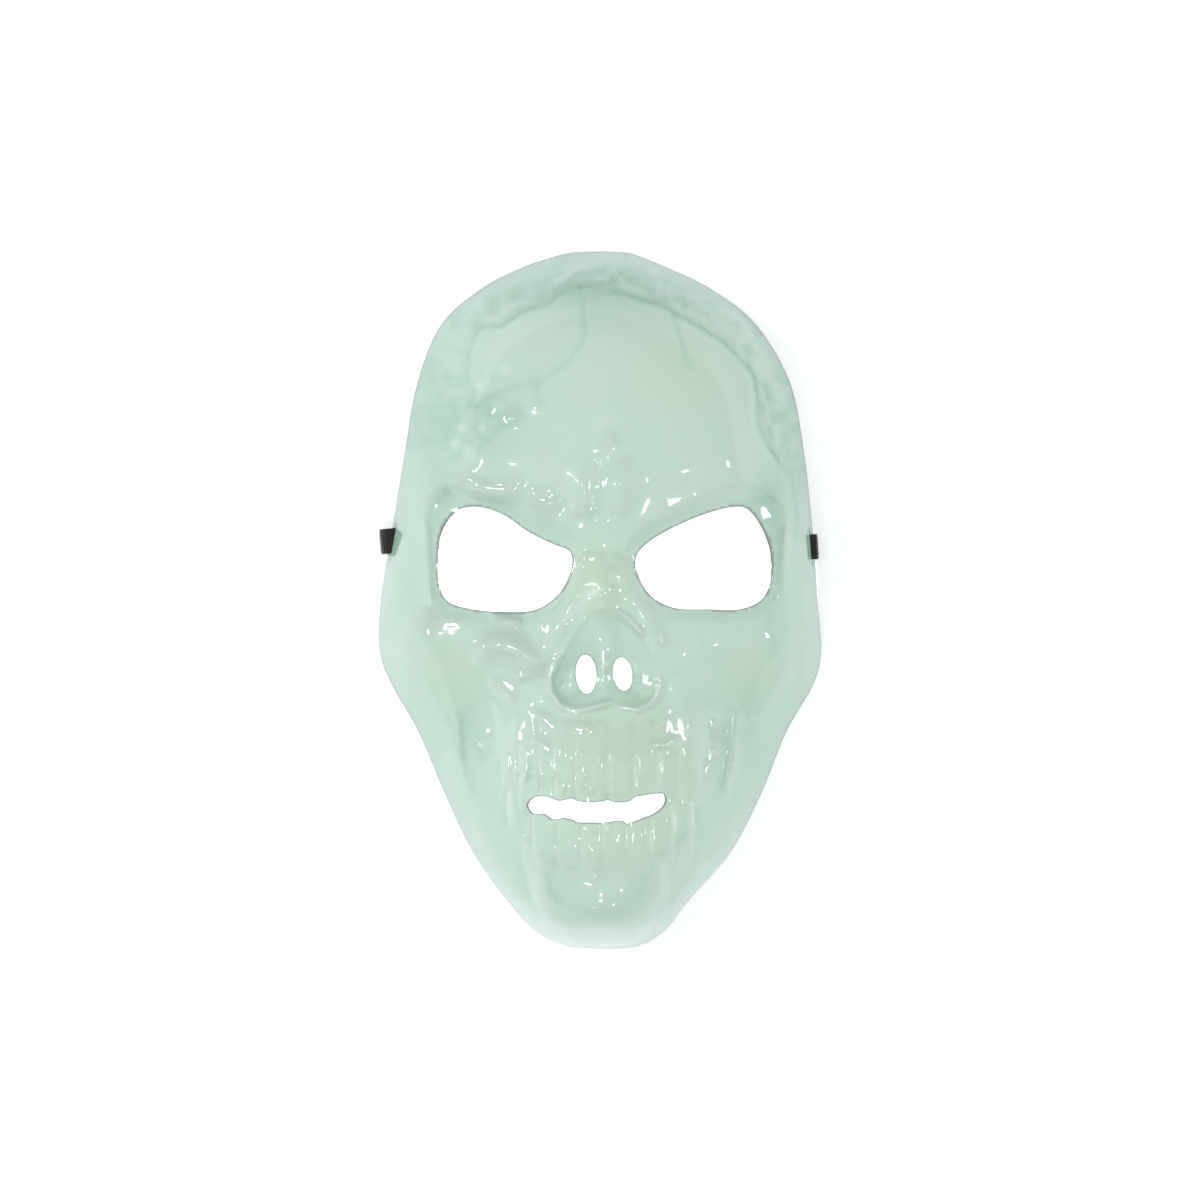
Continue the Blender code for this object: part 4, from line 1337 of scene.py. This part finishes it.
@dataclass
class MaskShell:
    """The vacuum-formed shell, replacing the CAD node of the same outline."""

    form: FaceForm
    finish: VacuumFormedSheet
    wall: float = 0.8
    outer_step: float = 0.95
    fine_step: float = 0.52
    inner_step: float = 3.0
    rim_step: float = 1.5
    hole_step: float = 0.7
    wall_rows: tuple[float, ...] = (0.0, 2.2, 4.5, 7.1, 10.0, 13.5, 17.5, 22.0, 27.0)
    slit_rows: tuple[int, int] = (2, 3)
    # Shares and reaches of the painted shade stored in the hollow attribute
    wrinkle_shade_share: float = 0.6
    wrinkle_shade_fade: float = 4.0
    crack_shade_share: float = 0.4
    side_shade_share: float = 0.75
    side_shade_reach: float = 30.0
    bone_shade_depth: float = 40.0
    bone_shade_most: float = 0.15

    def lattice(self, step: float, edge: np.ndarray, loops: Sequence[np.ndarray], clear: float) -> np.ndarray:
        """Lays out a triangular lattice inside the wall rows and outside the holes.

        Args:
            step: its spacing.
            edge: the innermost wall row.
            loops: the holes' outlines.
            clear: how far points keep from edge and loops.

        Returns:
            The lattice points.
        """
        j, i = np.mgrid[-int(145 / step) : int(145 / step) + 1, -int(92 / step) : int(92 / step) + 1]
        across = (i + 0.5 * (j % 2)) * step
        points = np.stack([across.ravel(), (j * step * math.sqrt(0.75)).ravel()], 1)
        keep = inside(points, edge)
        points = points[keep]
        points = points[distance(points, edge, True) > clear]
        for loop in loops:
            low, high = loop.min(0) - 2 * clear, loop.max(0) + 2 * clear
            close = np.all((points > low) & (points < high), axis=1)
            spoilt = np.zeros(len(points), bool)
            near_points = points[close]
            spoilt[close] = inside(near_points, loop) | (distance(near_points, loop, True) < clear)
            points = points[~spoilt]
        return points

    def sheet(
        self, rows: list[np.ndarray], loops: list[np.ndarray], step: float, marks: list[np.ndarray]
    ) -> tuple[np.ndarray, np.ndarray]:
        """Joins wall rows, hole outlines and lattice into one sheet of triangles over the front view.

        Args:
            rows: the wall rows, from the rim inward.
            loops: the holes' outlines.
            step: the lattice's spacing.
            marks: the ends of the slits.

        Returns:
            The plan points and the triangles.
        """
        points: list[np.ndarray] = []
        edges: list[tuple[int, int]] = []
        for group in rows + loops:
            first = len(points)
            points.extend(group)
            edges.extend((first + k, first + (k + 1) % len(group)) for k in range(len(group)))
        laid = self.lattice(step, rows[-1], loops, 0.6 * min(step, 1.6))
        if step == self.outer_step:
            fine = self.lattice(self.fine_step, rows[-1], loops, 0.6 * self.fine_step)
            points.extend(fine[inside(fine, FINE_PART)])
            laid = laid[~inside(laid, FINE_PART)]
        points.extend(laid)
        done = delaunay_2d_cdt([Vector(p) for p in points], edges, [], 0, 1e-6)
        if len(done[0]) != len(points):
            raise RuntimeError("the outlines cross one another")
        triangles = np.array([f for f in done[2] if len(f) == 3])
        plan = np.array([tuple(p) for p in done[0]])
        middles = plan[triangles].mean(1)
        keep = inside(middles, rows[0])
        for loop in loops:
            keep &= ~inside(middles, loop)
        triangles = triangles[keep]
        return plan, triangles[~self.in_slit(triangles, rows[0], marks)]

    def in_slit(self, triangles: np.ndarray, rim: np.ndarray, marks: list[np.ndarray]) -> np.ndarray:
        """Says which triangles lie in a slit, between two wall rows.

        Args:
            triangles: corner numbers.
            rim: the rim points.
            marks: the ends of the slits.

        Returns:
            True for each triangle in a slit.
        """
        count = len(rim)
        row, column = triangles // count, triangles % count
        between = np.all((row == self.slit_rows[0]) | (row == self.slit_rows[1]), axis=1)
        cut = np.zeros(len(triangles), bool)
        for a, b in (marks[:2], marks[2:]):
            first, last = sorted(int(np.argmin(np.hypot(*(rim - mark).T))) for mark in (a, b))
            place = column
            if last - first > count / 2:
                place = (column - last) % count
                first, last = 0, (first - last) % count
            cut |= between & np.all((place >= first) & (place <= last), axis=1)
        return cut

    @staticmethod
    def upward(points: np.ndarray, triangles: np.ndarray) -> tuple[np.ndarray, np.ndarray]:
        """Turns every triangle to face out of the mask and finds the corner normals.

        Args:
            points: corners.
            triangles: corner numbers, turned in place.

        Returns:
            The triangles and the unit normal of each corner.
        """
        a, b, c = (points[triangles[:, k]] for k in (0, 1, 2))
        across = np.cross(b - a, c - a)
        down = across[:, 2] < 0
        triangles[down] = triangles[down][:, ::-1]
        across[down] *= -1
        across /= np.linalg.norm(across, axis=1)[:, None] + 1e-12
        normals = np.zeros_like(points)
        for k in range(3):
            np.add.at(normals, triangles[:, k], across)
        return triangles, normals / (np.linalg.norm(normals, axis=1)[:, None] + 1e-12)

    def build(self) -> bpy.types.Object:
        """Builds the shell as one closed body and dresses it."""
        marks = self.form.slit_ends()
        rim = spaced(self.form.rim, self.rim_step, marks)
        run = np.roll(rim, -1, 0) - np.roll(rim, 1, 0)
        inward = np.stack([run[:, 1], -run[:, 0]], 1)
        inward /= np.hypot(inward[:, 0], inward[:, 1])[:, None]
        rows = [rim] + [self.form.inset(rim, inward, rise) for rise in self.wall_rows[1:]]
        loops = [spaced(hole, self.hole_step) for hole in self.form.holes]
        plan, faces = self.sheet(rows, loops, self.outer_step, marks)
        outer = np.column_stack([plan, self.form.height(plan, True)])
        faces, _ = self.upward(outer, faces)
        back_plan, back_faces = self.sheet(rows, loops, self.inner_step, marks)
        back = np.column_stack([back_plan, self.form.height(back_plan, False)])
        back_faces, normals = self.upward(back, back_faces)
        shared = sum(len(group) for group in rows + loops)
        back[:shared, 2] = outer[:shared, 2]
        inner = back - self.wall * normals
        inner[: len(rim)] = outer[: len(rim)] + np.column_stack([inward * self.wall, np.zeros(len(rim))])
        size = len(outer)
        joins = self.joins(faces, size)
        every = np.vstack([faces, back_faces[:, ::-1] + size, joins])
        made = new_mesh("skull_shell", np.vstack([outer, inner]), every, self.finish.make())
        self.shade(made, np.vstack([plan, back_plan]), size, shared, len(rim))
        return made

    @staticmethod
    def joins(faces: np.ndarray, size: int) -> np.ndarray:
        """Makes the strips that join the outer sheet to the inner one at every cut edge.

        Args:
            faces: the outer triangles.
            size: how many outer corners there are.

        Returns:
            The strips' triangles.
        """
        sides = np.vstack([faces[:, [0, 1]], faces[:, [1, 2]], faces[:, [2, 0]]])
        keys = sides[:, 0] * size + sides[:, 1]
        twins = sides[:, 1] * size + sides[:, 0]
        free = sides[~np.isin(keys, twins)]
        start, end = free[:, 0], free[:, 1]
        first = np.stack([start, start + size, end + size], 1)
        second = np.stack([start, end + size, end], 1)
        return np.vstack([first, second])

    def shade(
        self, made: bpy.types.Object, plan: np.ndarray, size: int, shared: int, rim_count: int
    ) -> None:
        """Stores the painted shade in hollows, grooves, cracks and near the rim, the warmer patches, and the
        cut edges.

        Args:
            made: the shell.
            plan: the plan place of each corner.
            size: how many of them are on the outside.
            shared: how many corners of each side lie on wall rows and holes.
            rim_count: how many corners lie on the rim.
        """
        on_holes = np.arange(rim_count * len(self.wall_rows), shared)
        edge = np.zeros(len(plan))
        for first in (0, size):
            edge[first : first + rim_count] = 1.0
            edge[first + on_holes] = 1.0
        # The hollow attribute holds painted shade, which the material turns into the shade colour
        hollow = np.zeros(len(plan))
        # Painted shade in the temple hollow and the outer eye corners, and darker colour over the top of the
        # cap
        for row in SHADE_PATCHES:
            hollow += swell(plan, *row)
        # Painted shade in the recesses of the bone relief, darker where they sink further
        bones = self.form.bones(plan[:size])
        hollow[:size] += np.clip(-bones / self.bone_shade_depth, 0, self.bone_shade_most)
        # Painted shade on the side walls, darkest at the rim
        hollow += self.side_shade_share * smooth(1 - distance(plan, self.form.rim, True) / self.side_shade_reach)
        # Painted shade in the valleys of the lumps on the skull cap and the left temple
        for region in (Region.CAP, Region.LEFT_TEMPLE):
            within = np.where(inside(plan, region.outline), distance(plan, region.outline, True), 0.0)
            valleys = np.clip(-lumps(plan, region.size), 0, 1)
            hollow += self.wrinkle_shade_share * smooth(within / self.wrinkle_shade_fade) * valleys
        # Painted shade along the cracks of the skull cap
        for _, half_width, run in CRACKS:
            gap = near(plan, closed_run(run), 6.0)
            hollow += self.crack_shade_share * np.exp(-((gap / half_width) ** 2))
        tint = np.zeros(len(plan))
        for row in COLOUR_TINTS:
            tint += swell(plan, *row)
        for name, values in (("hollow", hollow), ("tint", tint), ("edge", edge)):
            made.data.attributes.new(name, "FLOAT", "POINT")
            made.data.attributes[name].data.foreach_set("value", np.clip(values, 0, 1))


@dataclass
class ElasticBand:
    """The woven band: through a slit each side, back on itself, and over the surface inside the mask."""

    form: FaceForm
    finish: WovenElastic
    half_width: float = 4.8
    half_thick: float = 0.4
    rib_count: int = 7
    rib_rise: float = 0.1
    slit_band_z: float = 8.4
    crest_y: float = 86.0
    end_turn: float = 82.0
    twist_length: float = 20.0
    twist_steps: int = 16
    sewn_gap: float = 1.15
    sewn_start: int = 8
    sewn_end: int = 13

    def main_run(
        self, rim_x: float, centre_y: float, heading: float, bulge_start: float
    ) -> tuple[np.ndarray, np.ndarray]:
        """Lays out the band from under the rim to the middle of its crest.

        Args:
            rim_x: where the rim is.
            centre_y: where the slit's middle is.
            heading: the band's direction in degrees.
            bulge_start: where its loop starts, from the rim.

        Returns:
            The centres and the width directions.
        """
        centres, widths = [], []
        start = np.array([rim_x, centre_y])
        ahead = np.array([math.cos(math.radians(heading)), math.sin(math.radians(heading))])
        for u in (bulge_start + 1.2, 2.2):
            centres.append((*(start + u * ahead), self.half_thick))
            widths.append((-ahead[1], ahead[0], 0.0))
        place = start + 3.5 * ahead
        step = self.twist_length / self.twist_steps
        for k in range(self.twist_steps + 1):
            share = float(smooth(k / self.twist_steps))
            turn = math.radians(heading + (self.end_turn - heading) * share)
            twist = math.radians(90 * share)
            z = self.half_width * math.sin(twist) + self.half_thick * math.cos(twist)
            centres.append((*place, z))
            flat = math.cos(twist)
            widths.append((-math.sin(turn) * flat, math.cos(turn) * flat, -math.sin(twist)))
            place = place + step * np.array([math.cos(turn), math.sin(turn)])
        end = np.array(centres[-1][:2])
        turn = math.radians(self.end_turn)
        crest = np.array([0.0, self.crest_y])
        reach = crest - end
        knots = (
            end,
            end + 0.62 * reach[1] * np.array([math.cos(turn), math.sin(turn)]),
            crest - np.array([0.6 * reach[0], 0.0]),
            crest,
        )
        for t in np.linspace(0, 1, 19)[1:]:
            weights = ((1 - t) ** 3, 3 * t * (1 - t) ** 2, 3 * t * t * (1 - t), t**3)
            centres.append((*sum(w * k for w, k in zip(weights, knots)), self.half_width))
            widths.append((0.0, 0.0, -1.0))
        return np.array(centres), np.array(widths)

    @staticmethod
    def thickness(centres: np.ndarray, widths: np.ndarray) -> np.ndarray:
        """Finds the thickness directions, square to the path and to its widths.

        Args:
            centres: the path.
            widths: the width directions.

        Returns:
            The thickness directions.
        """
        steps = np.diff(centres, axis=0)
        steps /= np.linalg.norm(steps, axis=1)[:, None]
        ahead = np.vstack([steps[:1], steps[:-1] + steps[1:], steps[-1:]])
        thick = np.cross(ahead, widths)
        return thick / np.linalg.norm(thick, axis=1)[:, None]

    def half(
        self, rim_x: float, centre_y: float, heading: float, bulge: float, bulge_start: float
    ) -> tuple[np.ndarray, np.ndarray, np.ndarray]:
        """Lays out half of the band, from its sewn tail round the loop to the crest.

        Args:
            rim_x: where the rim is.
            centre_y: where the slit's middle is.
            heading: the band's direction in degrees.
            bulge: how far its loop stands out.
            bulge_start: where its loop starts, from the rim.

        Returns:
            The centres, width directions and thickness directions.
        """
        main, main_widths = self.main_run(rim_x, centre_y, heading, bulge_start)
        main_thick = self.thickness(main, main_widths)
        rise = self.slit_band_z - self.half_thick - self.sewn_gap
        steps = np.arange(self.sewn_end, -1, -1)
        apart = self.sewn_gap + rise * smooth(1 - steps / self.sewn_start)
        tail = main[steps + 2] + apart[:, None] * main_thick[steps + 2]
        tail_widths = main_widths[steps + 2]
        ahead = np.array([math.cos(math.radians(heading)), math.sin(math.radians(heading)), 0.0])
        across = np.array([-ahead[1], ahead[0], 0.0])
        arc_top = np.array([rim_x, centre_y, self.slit_band_z]) + bulge_start * ahead
        half_drop = (self.slit_band_z - self.half_thick) / 2
        loop = [(tail[-1] + arc_top) / 2]
        for angle in np.linspace(0, math.pi, 21):
            drop = np.array([0, 0, half_drop * (1 - math.cos(angle))])
            loop.append(arc_top - bulge * math.sin(angle) * ahead - drop)
        centres = np.vstack([tail, loop, main])
        widths = np.vstack([tail_widths, [across] * len(loop), main_widths])
        thick = self.thickness(centres, widths)
        sewn = self.sewn_end - self.sewn_start + 1
        thick[:sewn] = -main_thick[steps + 2][:sewn]
        return centres, widths, thick

    def build(self) -> bpy.types.Object:
        """Sweeps the ribbed section from tail to tail and dresses it."""
        halves = []
        for on_right, centre_y, *shape in STRAP_ENDS:
            side = self.form.rim[(self.form.rim[:, 0] > 0) == on_right]
            rim_x = -abs(side[np.argmin(np.abs(side[:, 1] - centre_y)), 0])
            runs = self.half(rim_x, centre_y, *shape)
            if on_right:
                runs = tuple(part[::-1][1:] * (-1, 1, 1) for part in runs)
            halves.append(runs)
        centres, widths, thick = (np.vstack([half[i] for half in halves]) for i in range(3))
        section = self.section()
        points = np.stack([centres + a * widths + b * thick for a, b in section], 1).reshape(-1, 3)
        count = len(section)
        faces = []
        for k in range(len(centres) - 1):
            for i in range(count):
                a, b = count * k + i, count * k + (i + 1) % count
                faces.append((a, b, b + count, a + count))
        half = count // 2
        last = len(points) - count
        for i in range(half - 1):
            faces.append((i, count - 1 - i, count - 2 - i, i + 1))
            faces.append((last + i, last + i + 1, last + count - 2 - i, last + count - 1 - i))
        made = new_mesh("elastic_strip", points, np.array(faces), self.finish.make())
        along = np.concatenate([[0], np.cumsum(np.linalg.norm(np.diff(centres, axis=0), axis=1))])
        strip = np.array([(s, a, b) for s in along for a, b in section])
        made.data.attributes.new("strip", "FLOAT_VECTOR", "POINT")
        made.data.attributes["strip"].data.foreach_set("vector", strip.ravel())
        return made

    def section(self) -> list[Pair]:
        """Lists the ribbed section's corners, across the band and through it."""
        places = np.linspace(-1, 1, 6 * self.rib_count + 1)
        ribs = np.abs(np.cos(places * self.rib_count * math.pi / 2))
        edge = np.sqrt(np.clip(1 - np.abs(places) ** 10, 0, 1))
        rises = (self.half_thick - self.rib_rise + self.rib_rise * ribs) * np.maximum(edge, 0.35)
        front = [(self.half_width * p, -r) for p, r in zip(places, rises)]
        back = [(self.half_width * p, r) for p, r in zip(places[::-1], rises[::-1])]
        return front + back


@dataclass
class Studio:
    """The table, the soft light round the mask and the camera over it."""

    lens: float = 150.0
    table_size: float = 6.0
    pad_gap: float = 4.0
    pad_height: float = 0.02
    pad_glow: float = 0.85
    ceiling: float = 0.57
    horizon: float = 0.52
    table: StudioSweep = field(default_factory=StudioSweep)

    def build(self, rim: np.ndarray) -> None:
        """Sets up table, lamps, ambient light and camera.

        Args:
            rim: the mask's rim.
        """
        self.build_table(rim)
        for name, place, width, length, power in LAMPS:
            lamp = bpy.data.lights.new(name, "AREA")
            lamp.shape, lamp.size, lamp.size_y, lamp.energy = "ELLIPSE", width, length, power
            made = bpy.data.objects.new(name, lamp)
            made.location = place
            made.rotation_euler = (Vector((0, 0, 0.05)) - Vector(place)).to_track_quat("-Z", "Y").to_euler()
            bpy.context.scene.collection.objects.link(made)
        world = bpy.data.worlds.new("studio_air")
        world.use_nodes = True
        tree = world.node_tree
        tree.nodes.clear()
        way = add_node(tree, "ShaderNodeTexCoord").outputs["Generated"]
        up = add_node(tree, "ShaderNodeSeparateXYZ", {}, {"Vector": way}).outputs["Z"]
        level = add_node(
            tree,
            "ShaderNodeMapRange",
            {"clamp": True},
            {"Value": up, "From Min": 0.0, "From Max": 0.9, "To Min": self.horizon, "To Max": self.ceiling},
        ).outputs["Result"]
        air = add_node(tree, "ShaderNodeBackground", {}, {"Color": linear("#FBFDFF"), "Strength": level})
        add_node(tree, "ShaderNodeOutputWorld", {}, {"Surface": air.outputs["Background"]})
        bpy.context.scene.world = world
        bpy.context.scene.view_settings.view_transform = "Standard"
        camera = bpy.data.cameras.new("front_view")
        camera.lens, camera.sensor_width = self.lens, 36.0
        made = bpy.data.objects.new("front_view", camera)
        made.location = CAMERA_PLACE
        bpy.context.scene.collection.objects.link(made)
        bpy.context.scene.camera = made

    def build_table(self, rim: np.ndarray) -> None:
        """Adds the table top, and under the mask the lit pad in it.

        Args:
            rim: the mask's rim, which the pad stays inside.
        """
        edge = spaced(rim, 6.0)
        run = np.roll(edge, -1, 0) - np.roll(edge, 1, 0)
        inward = np.stack([run[:, 1], -run[:, 0]], 1) / np.hypot(run[:, 0], run[:, 1])[:, None]
        edge = edge + self.pad_gap * inward
        pad = np.column_stack([edge, np.full(len(edge), self.pad_height)])
        glow = StudioSweep(name="lit_pad", glow=self.pad_glow).make()
        new_mesh("lit_pad", pad, np.arange(len(edge))[None, ::-1], glow)
        half = self.table_size * 500
        corners = np.array([(-half, -half, 0), (half, -half, 0), (half, half, 0), (-half, half, 0)], float)
        top = new_mesh("table_top", corners, np.array([(0, 1, 2, 3)]), self.table.make())


def main() -> None:
    """Builds the pieces in order and reports each."""
    form = FaceForm()
    shell = MaskShell(form, VacuumFormedSheet()).build()
    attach(shell, "root")
    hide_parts("mask_shell")
    LOG.info("shell: %d faces", len(shell.data.polygons))
    band = ElasticBand(form, WovenElastic()).build()
    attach(band, "root")
    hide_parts("elastic_band")
    LOG.info("band: %d faces", len(band.data.polygons))
    Studio().build(form.rim)
    LOG.info("studio is set")


if __name__ == "__main__":
    logging.basicConfig(level=logging.INFO, format="%(name)s: %(message)s")
    main()
